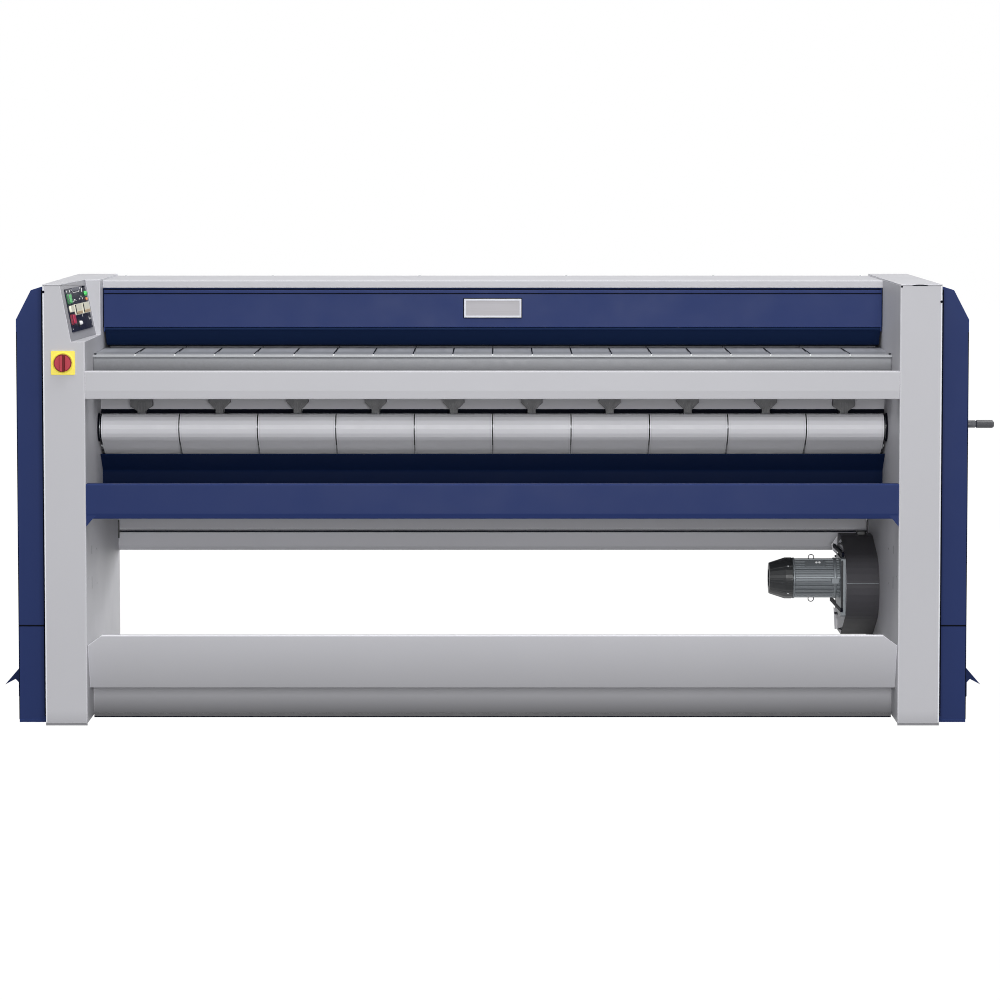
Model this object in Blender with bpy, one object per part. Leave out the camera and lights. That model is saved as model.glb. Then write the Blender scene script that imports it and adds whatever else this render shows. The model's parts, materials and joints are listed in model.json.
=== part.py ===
"""Cylinder ironer: a free-standing flatwork ironer that takes linen in and gives it back in front.

Frame: metres, +X to the operator's right, the front towards -Y, +Z up. The origin is on the
floor under the middle of the machine. Cross-sections are drawn as (depth, height) points,
where depth runs back from the front plane of the housings.
"""
import math

import bmesh
import bpy
from mathutils import Matrix, Vector

# Housings at both ends
CLEAR_WIDTH = 2.504
COLUMN_WIDTH = 0.129
COVER_WIDTH = 0.091
HOUSING_DEPTH = 1.020
HOUSING_RISE = 0.432
SHEET = 0.002
CAP_THICKNESS = 0.003
RETURN_FLANGE = 0.030
COVER_SETBACK = 0.070
COVER_SEAM_HEIGHT = 0.305
COVER_FLOOR_GAP = 0.012
COVER_SHOULDER_DROP = 0.111
COVER_SLOPE_DROP = 0.020
COVER_TOP_DROP = 0.010
COVER_SLOPE_WIDTH = 0.047
COVER_RIM_WIDTH = 0.031
WINDOW_FRONT = 0.110

# Gaps between neighbours, and how far a cutter runs past what it cuts
GAP = 0.0003
RUNNING_GAP = 0.0004
OVERRUN = 0.020

# Levelling feet
FOOT_LIFT = 0.010
FOOT_RADIUS = 0.025
FOOT_STUD_RADIUS = 0.006
FOOT_STUD_TOP = 0.032
FOOT_INSET = 0.060

# Vent cowl on the lower side panels
COWL_REAR_INSET = 0.170
COWL_LENGTH = 0.350
COWL_BODY = 0.056
SIDE_REACH = 0.100
COWL_TOP = 0.176
COWL_TIP_HEIGHT = 0.060
COWL_UNDER_BODY = 0.066
COWL_UNDER_HEIGHT = 0.078
COWL_NECK_HEIGHT = 0.067
COWL_FOOT = 0.017
COWL_CORNER = 0.005

# Sloped control console in the left column's top inner corner
CONSOLE_DEPTH = 0.460
CONSOLE_HEIGHT = 0.176
CONSOLE_TOP_INSET = 0.053
CONSOLE_SLOPE_RUN = 0.034
CONSOLE_SKEW = 0.028
PANEL_THICKNESS = 0.003
PANEL_FRONT = 0.052
PANEL_LENGTH = 0.363
PANEL_TOP = 0.018
PANEL_HEIGHT = 0.135
KEY_CLEARANCE = 0.0005
KEY_PROUD = 0.004
KEY_DEPTH = 0.012
BAR_KEY_LENGTH = 0.072
BAR_KEY_HEIGHT = 0.032
BAR_KEY_ALONG = 0.093
START_KEY_DOWN = 0.050
STOP_KEY_DOWN = 0.114
WIDE_KEY_LENGTH = 0.118
WIDE_KEY_HEIGHT = 0.034
WIDE_KEY_DOWN = 0.087
WIDE_KEY_ALONG = 0.211
WIDE_KEY_PITCH = 0.140
WIDE_KEY_PIVOT_DEPTH = 0.003
KEY_BEVEL = 0.003

# Main switch on the left column's front
SWITCH_SIDE = 0.074
SWITCH_INBOARD = 0.062
SWITCH_DROP = 0.241
SWITCH_PLATE_THICKNESS = 0.003
SWITCH_PLATE_ROUND = 0.004
KNOB_RADIUS = 0.027
KNOB_BASE = 0.012
KNOB_REACH = 0.030
KNOB_BAR_WIDTH = 0.014
KNOB_BAR_INSET = 0.001
KNOB_SHAFT_RADIUS = 0.005
KNOB_SHAFT_LENGTH = 0.020

# Front rails, trough and kick panel
RAIL_RISE = 0.079
RAIL_FOLD_RISE = 0.026
RAIL_FOLD_SET = 0.003
RAIL_HEIGHT = 0.086
RAIL_FLANGE = 0.045
CHUTE_RAIL_DROP = 0.2905
CHUTE_RAIL_HEIGHT = 0.1075
CHUTE_RAIL_FOLD_RISE = 0.016
CHUTE_RAIL_FLANGE = 0.040
CHUTE_TIP_WIDTH = 0.033
CHUTE_TIP_DROP = 0.0235
TROUGH_TOP = 0.284
TROUGH_BOTTOM = 0.110
TROUGH_SLOPE = 0.077
TROUGH_REAR = 0.470
TROUGH_REAR_SLOPE = 0.060
TROUGH_REAR_TOP = 0.200
TROUGH_LIP = 0.018
TROUGH_CORNER_WIDTH = 0.046
TROUGH_CORNER_DROP = 0.034
KICK_DEPTH = 0.180
KICK_FLANGE = 0.040
KICK_FLOOR_GAP = 0.015

# Feed table, hood and finger guard
TABLE_LIP_AHEAD = 0.525
TABLE_LIP_DROP = 0.011
TABLE_LIP_ROUND = 0.010
TABLE_SHOULDER_RUN = 0.055
TABLE_SHOULDER_DROP = 0.006
TABLE_REAR_AHEAD = 0.155
TABLE_REAR_DROP = 0.002
TABLE_REAR_LIP = 0.012
TABLE_APRON_DROP = 0.105
TABLE_APRON_FLANGE = 0.030
TABLE_STRIPS = 20
TABLE_SIDE_MARGIN = 0.007
TABLE_SLOT_WIDTH = 0.0035
TABLE_SLOT_MARGIN = 0.010
HOOD_AHEAD = 0.215
TOP_COVER_DROP = 0.006
TOP_COVER_LIP = 0.023
TOP_COVER_REAR_LIP = 0.030
HOOD_BAR_RADIUS = 0.005
HOOD_BAR_PROUD = 0.0004
HOOD_TOP_GAP = 0.001
HOOD_OVER_TABLE = 0.068
HOOD_CHEEK_DEPTH = 0.022
HOOD_CHEEK_THICKNESS = 0.003
HOOD_CHEEK_DROP = 0.014
HOOD_END_GAP = 0.003
HOOD_PIN_RADIUS = 0.003
GUARD_BAR_RADIUS = 0.0045
GUARD_PIN_RADIUS = 0.002
GUARD_AXIS_DROP = 0.0055
GUARD_TIP_RUN = 0.052
GUARD_OVER_TABLE = 0.009

# Rear of the machine
REAR_SHEET_INSET = 0.0023
REAR_PANEL_GAP = 0.006
REAR_PANEL_FLANGE = 0.025
REAR_BEAM_DROP = 0.431
REAR_BEAM_FOLD_DROP = 0.047
REAR_BEAM_HEIGHT = 0.060
REAR_BEAM_DEPTH = 0.032
REAR_BEAM_FOLD_SET = 0.007

# Ironing cylinder, its bearings, pulley and burner
CYLINDER_RADIUS = 0.210
CYLINDER_HEIGHT = 0.935
CYLINDER_WALL = 0.006
CYLINDER_END_GAP = 0.012
CYLINDER_END_WALL = 0.008
JOURNAL_RADIUS = 0.045
JOURNAL_BORE = 0.037
JOURNAL_CLEARANCE = 0.003
BEARING_FLANGE_RADIUS = 0.085
BEARING_FLANGE = 0.012
BEARING_HUB_RADIUS = 0.062
BEARING_LENGTH = 0.045
BURNER_RADIUS = 0.030
BURNER_WALL = 0.003
BURNER_FLANGE_RADIUS = 0.058
BURNER_FLANGE = 0.006
BURNER_END_GAP = 0.060
BURNER_INLET = 0.030

# Drive in the right housing
DRIVE_AHEAD = 0.401
DRIVE_DROP = 0.014
DRIVE_SHAFT_RADIUS = 0.012
DRIVE_PULLEY_RADIUS = 0.040
CYLINDER_PULLEY_RADIUS = 0.120
PULLEY_INBOARD = 0.014
PULLEY_WIDTH = 0.026
PULLEY_GROOVE_WIDTH = 0.013
PULLEY_GROOVE_DEPTH = 0.008
VBELT_WIDTH = 0.012
VBELT_THICKNESS = 0.008
GEARBOX_SIZE = (0.104, 0.130, 0.130)
MOTOR_RADIUS = 0.050
MOTOR_DROP = 0.240
MOTOR_PILOT = 0.006
CRANK_LENGTH = 0.120
CRANK_THICKNESS = 0.013
CRANK_WIDTH = 0.030
CRANK_STANDOFF = 0.0025
CRANK_BORE_DEPTH = 0.010
CRANK_NECK_RADIUS = 0.008
CRANK_NECK_LENGTH = 0.028
CRANK_SPINDLE_RADIUS = 0.005
GRIP_RADIUS = 0.01275
GRIP_BORE_DEPTH = 0.048
GRIP_ROUND = 0.003

# Ironing belts and their rollers
BELT_COUNT = 10
BELT_SIDE_MARGIN = 0.0095
BELT_GAP = 0.004
BELT_THICKNESS = 0.002
BELT_FINE_STEP = math.radians(20)
BELT_COARSE_STEP = math.radians(45)
BELT_NIP_SLACK = 0.0004
BELT_RUN_GAP = 0.020
REAR_RUN_INSET = 0.035
RETURN_ROLLER_RADIUS = 0.040
RETURN_ROLLER_AHEAD = 0.368
RETURN_ROLLER_DROP = 0.035
LOWER_IDLER_RADIUS = 0.020
LOWER_IDLER_AHEAD = 0.285
LOWER_IDLER_DROP = 0.100
REAR_ROLLER_RADIUS = 0.022
REAR_ROLLER_DROP = 0.085
REAR_ROLLER_RISE = 0.055
FEED_ROLLER_RADIUS = 0.024
FEED_ROLLER_ANGLE = math.radians(110)
ROLLER_END_GAP = 0.005
ROLLER_JOURNAL_RADIUS = 0.009
ROLLER_WALL = 0.003
ROLLER_BORE = 0.005

# Stripper bar with its fingers, and the delivery chute
STRIPPER_AHEAD = 0.295
STRIPPER_RISE = 0.010
STRIPPER_HEIGHT = 0.120
STRIPPER_FLANGE = 0.060
FINGER_DEPTH = 0.045
FINGER_NECK_WIDTH = 0.025
FINGER_HEAD_WIDTH = 0.069
FINGER_TIP_DROP = 0.006
FINGER_NECK_HEIGHT = 0.016
FINGER_FLARE_HEIGHT = 0.022
FINGER_HEAD_HEIGHT = 0.020
CHUTE_TOP_AHEAD = 0.325
CHUTE_TOP_DROP = 0.125
CHUTE_KNEE_RUN = 0.070
CHUTE_KNEE_DROP = 0.057
CHUTE_SKIRT_DROP = 0.103

# Exhaust fan at the right rear
FAN_BODY_INSET = 0.120
FAN_AXIS_AHEAD = 0.218
FAN_NOSE_DROP = 0.087
FAN_AXIS_RISE = 0.028
FAN_NOSE_RADIUS = 0.112
FAN_WIDTH = 0.1067
FAN_TOP_RUN = 0.094
FAN_TOP_RISE = 0.154
FAN_BOTTOM_RUN = 0.120
FAN_BOTTOM_DROP = 0.169
FAN_NOSE_START = math.radians(107)
FAN_NOSE_END = math.radians(245)
FAN_INLET_RADIUS = 0.060
SPIGOT_RISE = 0.027
SPIGOT_HEIGHT = 0.200
SPIGOT_MARGIN = 0.006
SPIGOT_OVERHANG = 0.030
FAN_MOTOR_RADIUS = 0.056
FAN_MOTOR_LENGTH = 0.152
FAN_MOTOR_FLANGE = 0.016
FAN_PLATE_LENGTH = 0.170
FAN_PLATE_RISE = 0.100
FAN_PLATE_DROP = 0.089
FAN_MOTOR_FIN_DEPTH = 0.008
FAN_MOTOR_FINS = 24
MOTOR_FIN_SHARES = (0.20, 0.30, 0.70, 0.80)
FAN_SHAFT_RADIUS = 0.009
FAN_COWL_LENGTH = 0.076
FAN_COWL_RADIUS = 0.066
FAN_COWL_END_RADIUS = 0.050
FAN_COWL_WALL = 0.002
FAN_COWL_TAPER = 0.052
FAN_COWL_HOLE_RADIUS = 0.030
TERMINAL_BOX = (0.070, 0.034, 0.075)
IMPELLER_RADIUS = 0.074
IMPELLER_HUB_RADIUS = 0.020
IMPELLER_WIDTH = 0.075
IMPELLER_END_GAP = 0.010
IMPELLER_BACKPLATE = 0.003
IMPELLER_BLADES = 12
IMPELLER_BLADE_INNER = 0.050
IMPELLER_BLADE_THICKNESS = 0.003

# Bends in the sheet metal
FRAME_ROUND = 0.004
RAIL_ROUND = 0.003
BEND_LEAST = math.radians(8)
BEND_STEP = math.radians(31)

# Facets on round pieces
DRUM_FACETS = 40
ROUND_FACETS = 24
SMALL_FACETS = 12

# Places that follow from the sizes above
CYLINDER_DEPTH = HOUSING_DEPTH - REAR_RUN_INSET - BELT_RUN_GAP - CYLINDER_RADIUS
HOUSING_TOP = CYLINDER_HEIGHT + HOUSING_RISE
SWITCH_HEIGHT = HOUSING_TOP - SWITCH_DROP
CONSOLE_LEDGE_HEIGHT = HOUSING_TOP - CONSOLE_HEIGHT
COWL_FRONT = HOUSING_DEPTH - COWL_REAR_INSET - COWL_LENGTH
RAIL_BOTTOM = CYLINDER_HEIGHT + RAIL_RISE
CHUTE_RAIL_BOTTOM = CYLINDER_HEIGHT - CHUTE_RAIL_DROP
TABLE_LIP_DEPTH = CYLINDER_DEPTH - TABLE_LIP_AHEAD
TABLE_SHOULDER_DEPTH = TABLE_LIP_DEPTH + TABLE_SHOULDER_RUN
TABLE_REAR_DEPTH = CYLINDER_DEPTH - TABLE_REAR_AHEAD
TABLE_REAR_HEIGHT = CYLINDER_HEIGHT + CYLINDER_RADIUS - TABLE_REAR_DROP
TABLE_SHOULDER_HEIGHT = TABLE_REAR_HEIGHT - TABLE_SHOULDER_DROP
TABLE_LIP_HEIGHT = TABLE_REAR_HEIGHT - TABLE_LIP_DROP
TABLE_STRIP_PITCH = (CLEAR_WIDTH - 2 * TABLE_SIDE_MARGIN) / TABLE_STRIPS
BELT_PITCH = (CLEAR_WIDTH - 2 * BELT_SIDE_MARGIN) / BELT_COUNT
TOP_COVER_HEIGHT = HOUSING_TOP - TOP_COVER_DROP
HOOD_DEPTH = CYLINDER_DEPTH - HOOD_AHEAD
HOOD_BOTTOM = TABLE_REAR_HEIGHT + HOOD_OVER_TABLE
GUARD_AXIS_HEIGHT = HOOD_BOTTOM - GUARD_AXIS_DROP
REAR_BEAM_TOP = CYLINDER_HEIGHT - REAR_BEAM_DROP
REAR_BEAM_BOTTOM = REAR_BEAM_TOP - REAR_BEAM_HEIGHT
FAN_BODY_REAR = HOUSING_DEPTH - FAN_BODY_INSET
FAN_DEPTH = FAN_BODY_REAR - FAN_AXIS_AHEAD
FAN_NOSE_HEIGHT = REAR_BEAM_BOTTOM - FAN_NOSE_DROP
FAN_AXIS_HEIGHT = FAN_NOSE_HEIGHT + FAN_AXIS_RISE
FAN_BOTTOM_HEIGHT = FAN_NOSE_HEIGHT - FAN_BOTTOM_DROP
INNER_X = CLEAR_WIDTH / 2
COLUMN_X = INNER_X + COLUMN_WIDTH
COVER_X = COLUMN_X + COVER_WIDTH
FRONT_Y = -HOUSING_DEPTH / 2
FRAME_TOP = HOUSING_TOP - CAP_THICKNESS - GAP
WALL_IN_X = INNER_X + SHEET + GAP
BELT_OFFSET = RUNNING_GAP + BELT_THICKNESS / 2
REAR_ROLLER_DEPTH = HOUSING_DEPTH - REAR_RUN_INSET - REAR_ROLLER_RADIUS
RETURN_ROLLER_DEPTH = CYLINDER_DEPTH - RETURN_ROLLER_AHEAD
RETURN_ROLLER_HEIGHT = CYLINDER_HEIGHT - RETURN_ROLLER_DROP
LOWER_IDLER_DEPTH = CYLINDER_DEPTH - LOWER_IDLER_AHEAD
LOWER_IDLER_HEIGHT = CYLINDER_HEIGHT - LOWER_IDLER_DROP
STRIPPER_DEPTH = CYLINDER_DEPTH - STRIPPER_AHEAD
STRIPPER_BOTTOM = CYLINDER_HEIGHT + STRIPPER_RISE
CHUTE_TOP_DEPTH = CYLINDER_DEPTH - CHUTE_TOP_AHEAD
CHUTE_TOP_HEIGHT = CYLINDER_HEIGHT - CHUTE_TOP_DROP
DRIVE_DEPTH = CYLINDER_DEPTH - DRIVE_AHEAD
DRIVE_HEIGHT = CYLINDER_HEIGHT - DRIVE_DROP
PULLEY_X = COLUMN_X + PULLEY_INBOARD
HOOD_AXIS_DEPTH = HOOD_DEPTH + HOOD_BAR_RADIUS - HOOD_BAR_PROUD
HOOD_AXIS_HEIGHT = TOP_COVER_HEIGHT - TOP_COVER_LIP - HOOD_TOP_GAP - HOOD_BAR_RADIUS
GUARD_AXIS_DEPTH = HOOD_DEPTH + GUARD_BAR_RADIUS
GUARD_HALF_LENGTH = INNER_X - HOOD_END_GAP - HOOD_CHEEK_THICKNESS - GAP
FAN_X = INNER_X - GAP - FAN_WIDTH
CRANK_X = COVER_X + CRANK_STANDOFF
SPAN = INNER_X - GAP
CONSOLE_ALONG = Vector((CONSOLE_SKEW, CONSOLE_DEPTH, 0)).normalized()
CONSOLE_FACE = Vector((1, -CONSOLE_SKEW / CONSOLE_DEPTH, CONSOLE_SLOPE_RUN / CONSOLE_HEIGHT))
CONSOLE_OUT = CONSOLE_FACE.normalized()
CONSOLE_DOWN = CONSOLE_ALONG.cross(CONSOLE_OUT)
CONSOLE_ORIGIN = Vector((CONSOLE_TOP_INSET - COLUMN_X, FRONT_Y, HOUSING_TOP))

# Colours as 8-bit sRGB values
LIGHT_GREY = (200, 201, 206)
BLUE = (54, 65, 102)
DARK_BLUE = (26, 36, 66)
TABLE_GREY = (150, 153, 158)
BELT_GREY = (186, 187, 192)
STEEL = (150, 152, 155)
DARK_STEEL = (62, 63, 66)
BLACK = (34, 35, 37)
YELLOW = (255, 226, 70)
RED = (186, 50, 56)
GREEN = (60, 150, 90)
CREAM = (226, 216, 180)


def y_at(depth):
    """World Y of a depth behind the housings' front plane."""
    return FRONT_Y + depth


def along_x(depth, height, x):
    return Vector((x, y_at(depth), height))


def along_y(x, height, depth):
    return Vector((x, y_at(depth), height))


def mirrored_along_y(x, height, depth):
    return Vector((-x, y_at(depth), height))


def along_z(x, depth, height):
    return Vector((x, y_at(depth), height))


def on_console(along, down, out):
    """A point given along, down and out of the sloped console face."""
    return CONSOLE_ORIGIN + CONSOLE_ALONG * along + CONSOLE_DOWN * down + CONSOLE_OUT * out


def console_x(depth, height):
    """X of the console face at a depth and a height."""
    slope = CONSOLE_SLOPE_RUN * (HOUSING_TOP - height) / CONSOLE_HEIGHT
    skew = CONSOLE_SKEW * depth / CONSOLE_DEPTH
    return CONSOLE_ORIGIN.x + slope + skew


def hole_for(radius, clearance, facets):
    """Corner radius of a faceted hole that a turning shaft clears on its flats too."""
    return (radius + clearance) / math.cos(math.pi / facets)


def linear(colour):
    """Linear RGBA of an 8-bit sRGB colour."""
    shares = [channel / 255 for channel in colour]
    low = [share / 12.92 for share in shares]
    high = [((share + 0.055) / 1.055) ** 2.4 for share in shares]
    return [a if share < 0.04 else b for share, a, b in zip(shares, low, high)] + [1]


def finish(name, colour, roughness, metallic=0.0):
    """A Principled material of one colour."""
    look = bpy.data.materials.new(name)
    look.use_nodes = True
    shader = look.node_tree.nodes["Principled BSDF"]
    shader.inputs["Base Color"].default_value = linear(colour)
    shader.inputs["Roughness"].default_value = roughness
    shader.inputs["Metallic"].default_value = metallic
    return look


def add_object(name, mesh_edit, colour, roughness=0.45, metallic=0.0):
    """Turn an edit mesh into a linked object with a material of its own."""
    bmesh.ops.recalc_face_normals(mesh_edit, faces=mesh_edit.faces)
    mesh = bpy.data.meshes.new(name)
    mesh_edit.to_mesh(mesh)
    mesh_edit.free()
    mesh.materials.append(finish(name, colour, roughness, metallic))
    mesh.shade_smooth()
    mesh.set_sharp_from_angle(angle=math.radians(30))
    thing = bpy.data.objects.new(name, mesh)
    bpy.context.scene.collection.objects.link(thing)
    return thing


def prisms(name, outlines, low, high, place, colour, roughness=0.45, metallic=0.0):
    """Extrude flat outlines from low to high; place turns (a, b, along) into a point."""
    edit = bmesh.new()
    shift = place(0, 0, high) - place(0, 0, low)
    for outline in outlines:
        corners = [edit.verts.new(place(a, b, low)) for a, b in outline]
        face = edit.faces.new(corners)
        grown = bmesh.ops.extrude_face_region(edit, geom=[face])
        moved = [item for item in grown["geom"] if isinstance(item, bmesh.types.BMVert)]
        bmesh.ops.translate(edit, vec=shift, verts=moved)
    return add_object(name, edit, colour, roughness, metallic)


def prism(name, outline, low, high, place, colour, roughness=0.45, metallic=0.0):
    return prisms(name, [outline], low, high, place, colour, roughness, metallic)


def hull(name, points, colour):
    """The convex solid round a set of points."""
    edit = bmesh.new()
    for point in points:
        edit.verts.new(point)
    bmesh.ops.convex_hull(edit, input=edit.verts)
    return add_object(name, edit, colour)


def turned(name, profile, centre, colour, axis=(1, 0, 0), facets=ROUND_FACETS,
           roughness=0.45, metallic=0.0):
    """Spin a closed (along, radius) profile about an axis through centre."""
    spindle = Vector(axis)
    radial = Vector((0, 0, 1)) if spindle.z == 0 else Vector((1, 0, 0))
    edit = bmesh.new()
    verts = [edit.verts.new(centre + spindle * along + radial * radius) for along, radius in profile]
    edges = []
    for index, vert in enumerate(verts):
        following = (index + 1) % len(verts)
        if profile[index][1] > 0 or profile[following][1] > 0:
            edges.append(edit.edges.new((vert, verts[following])))
    bmesh.ops.spin(edit, geom=verts + edges, cent=centre, axis=spindle, angle=math.tau,
                   steps=facets, use_merge=True)
    bmesh.ops.remove_doubles(edit, verts=edit.verts, dist=GAP / 100)
    return add_object(name, edit, colour, roughness, metallic)


def rectangle(low, high):
    """Outline of a rectangle between two opposite corners."""
    return [low, (high[0], low[1]), high, (low[0], high[1])]


def circle(centre, radius, facets):
    """Outline of a faceted circle."""
    turns = [math.tau * index / facets for index in range(facets)]
    return [(centre[0] + radius * math.sin(turn), centre[1] + radius * math.cos(turn)) for turn in turns]


def rounded(path, radius, closed=False):
    """A path with its corners turned into arcs of a radius."""
    points = [Vector(point) for point in path]
    count = len(points)
    result = []
    for index, corner in enumerate(points):
        if not closed and index in (0, count - 1):
            result.append(corner)
            continue
        before = (points[index - 1] - corner).normalized()
        after = (points[(index + 1) % count] - corner).normalized()
        turn = math.pi - before.angle(after)
        if turn < BEND_LEAST:
            result.append(corner)
            continue
        reach = radius * math.tan(turn / 2)
        bisector = (before + after).normalized()
        centre = corner + bisector * (radius / math.cos(turn / 2))
        steps = max(2, math.ceil(turn / BEND_STEP))
        start = corner + before * reach - centre
        way = 1 if before.x * after.y - before.y * after.x < 0 else -1
        for step in range(steps + 1):
            swing = Matrix.Rotation(way * turn * step / steps, 2)
            result.append(centre + swing @ start)
    return result


def offset(path, distance):
    """The path moved to its left by a distance, with mitred corners."""
    points = [Vector(point) for point in path]
    normals = []
    for start, end in zip(points, points[1:]):
        run = (end - start).normalized()
        normals.append(Vector((-run.y, run.x)))
    moved = []
    for index, point in enumerate(points):
        before = normals[max(index - 1, 0)]
        after = normals[min(index, len(normals) - 1)]
        middle = (before + after).normalized()
        moved.append(point + middle * (distance / middle.dot(after)))
    return moved


def folded(path, radius=0.0, thickness=SHEET):
    """Outline of folded sheet: the path is one face, and the other lies on its left."""
    face = rounded(path, radius) if radius else [Vector(point) for point in path]
    return face + offset(face, thickness)[::-1]


def folded_sheet(name, path, colour, radius=0.0, half_length=SPAN, roughness=0.45, metallic=0.0):
    """A sheet of one cross-section that spans the machine."""
    outline = folded(path, radius)
    return prism(name, outline, -half_length, half_length, along_x, colour, roughness, metallic)


def cut(target, cutter, operation="DIFFERENCE"):
    """Boolean the cutter into the target and hide the cutter."""
    tool = target.modifiers.new(cutter.name, "BOOLEAN")
    tool.operation = operation
    tool.solver = "EXACT"
    tool.object = cutter
    cutter.hide_render = True
    cutter.display_type = "WIRE"


def join(target, piece):
    cut(target, piece, "UNION")


def hang_on(thing, pivot):
    """Move a piece's origin onto its joint's axis and leave the piece where it is."""
    thing.data.transform(Matrix.Translation(-pivot))
    thing.location = pivot


def belt_path(wheels):
    """Centre line of a belt round wheels, each (depth, height, radius, turn, step); turn is 1
    when the belt goes round it anticlockwise and -1 when it goes round clockwise."""
    headings = []
    for index, wheel in enumerate(wheels):
        following = wheels[(index + 1) % len(wheels)]
        run = Vector(following[:2]) - Vector(wheel[:2])
        rise = following[3] * following[2] - wheel[3] * wheel[2]
        headings.append(math.atan2(run.y, run.x) - math.asin(rise / run.length))
    points = []
    for index, (depth, height, radius, turn, step) in enumerate(wheels):
        arrival = headings[index - 1]
        sweep = (headings[index] - arrival) * turn % math.tau
        steps = math.ceil(sweep / step)
        for part in range(steps + 1):
            heading = arrival + turn * sweep * part / steps
            side = Vector((-math.sin(heading), math.cos(heading)))
            points.append(Vector((depth, height)) - side * turn * radius)
    return points


def band(name, centre_line, thickness, low, high, colour, roughness=0.6):
    """A closed belt of rectangular section along a closed centre line."""
    count = len(centre_line)
    edit = bmesh.new()
    rings = []
    for index, point in enumerate(centre_line):
        before = (point - centre_line[index - 1]).normalized()
        after = (centre_line[(index + 1) % count] - point).normalized()
        middle = (before + after).normalized()
        side = Vector((-middle.y, middle.x)) * (thickness / 2 / middle.dot(after))
        inner, outer = point + side, point - side
        spots = [(inner, low), (outer, low), (outer, high), (inner, high)]
        rings.append([edit.verts.new(along_x(spot.x, spot.y, x)) for spot, x in spots])
    for index, ring in enumerate(rings):
        following = rings[(index + 1) % count]
        for corner in range(4):
            beside = (corner + 1) % 4
            edit.faces.new((ring[corner], following[corner], following[beside], ring[beside]))
    return add_object(name, edit, colour, roughness)


def ironing_wheels():
    """The wheels that the ironing belts go round: the rollers inside the loop, and the
    cylinder that the loop folds round from outside."""
    feed_depth, feed_height = feed_roller_centre()
    fine, coarse = BELT_FINE_STEP, BELT_COARSE_STEP
    rollers = [
        (RETURN_ROLLER_DEPTH, RETURN_ROLLER_HEIGHT, RETURN_ROLLER_RADIUS, 1, fine),
        (LOWER_IDLER_DEPTH, LOWER_IDLER_HEIGHT, LOWER_IDLER_RADIUS, 1, coarse),
        (REAR_ROLLER_DEPTH, rear_lower_height(), REAR_ROLLER_RADIUS, 1, coarse),
        (REAR_ROLLER_DEPTH, rear_upper_height(), REAR_ROLLER_RADIUS, 1, coarse),
        (feed_depth, feed_height, FEED_ROLLER_RADIUS, 1, coarse),
        (CYLINDER_DEPTH, CYLINDER_HEIGHT, CYLINDER_RADIUS, -1, fine),
    ]
    return [(depth, height, belt_radius(radius + BELT_OFFSET, step), turn, step)
            for depth, height, radius, turn, step in rollers]


def belt_radius(radius, step):
    """Corner radius of a belt's faceted centre line whose flats keep to a radius."""
    return radius / math.cos(step / 2)


def rear_lower_height():
    return CYLINDER_HEIGHT - CYLINDER_RADIUS - REAR_ROLLER_DROP


def rear_upper_height():
    return CYLINDER_HEIGHT + CYLINDER_RADIUS + REAR_ROLLER_RISE


def feed_roller_centre():
    """Depth and height of the feed roller, which nips the belts against the cylinder."""
    over_drum = belt_radius(CYLINDER_RADIUS + BELT_OFFSET, BELT_FINE_STEP)
    over_roller = belt_radius(FEED_ROLLER_RADIUS + BELT_OFFSET, BELT_COARSE_STEP)
    reach = over_drum + over_roller + BELT_NIP_SLACK
    depth = CYLINDER_DEPTH + reach * math.cos(FEED_ROLLER_ANGLE)
    height = CYLINDER_HEIGHT + reach * math.sin(FEED_ROLLER_ANGLE)
    return depth, height


def axis_at(depth, height, x=0.0):
    return along_x(depth, height, x)


def bearing_holes():
    """Outlines of the holes that both side frames have for shafts, as (depth, height)."""
    journal = hole_for(ROLLER_JOURNAL_RADIUS, RUNNING_GAP, SMALL_FACETS)
    pin = hole_for(HOOD_PIN_RADIUS, RUNNING_GAP, SMALL_FACETS)
    holes = [circle(wheel[:2], journal, SMALL_FACETS) for wheel in ironing_wheels()[:-1]]
    holes.append(circle((HOOD_AXIS_DEPTH, HOOD_AXIS_HEIGHT), pin, SMALL_FACETS))
    opening = JOURNAL_RADIUS + JOURNAL_CLEARANCE
    holes.append(circle((CYLINDER_DEPTH, CYLINDER_HEIGHT), opening, ROUND_FACETS))
    return holes


def foot_places():
    """The (x, depth) of the feet under one side frame."""
    middle = INNER_X + COLUMN_WIDTH / 2
    return [(middle, FOOT_INSET), (middle, HOUSING_DEPTH - FOOT_INSET)]


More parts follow.
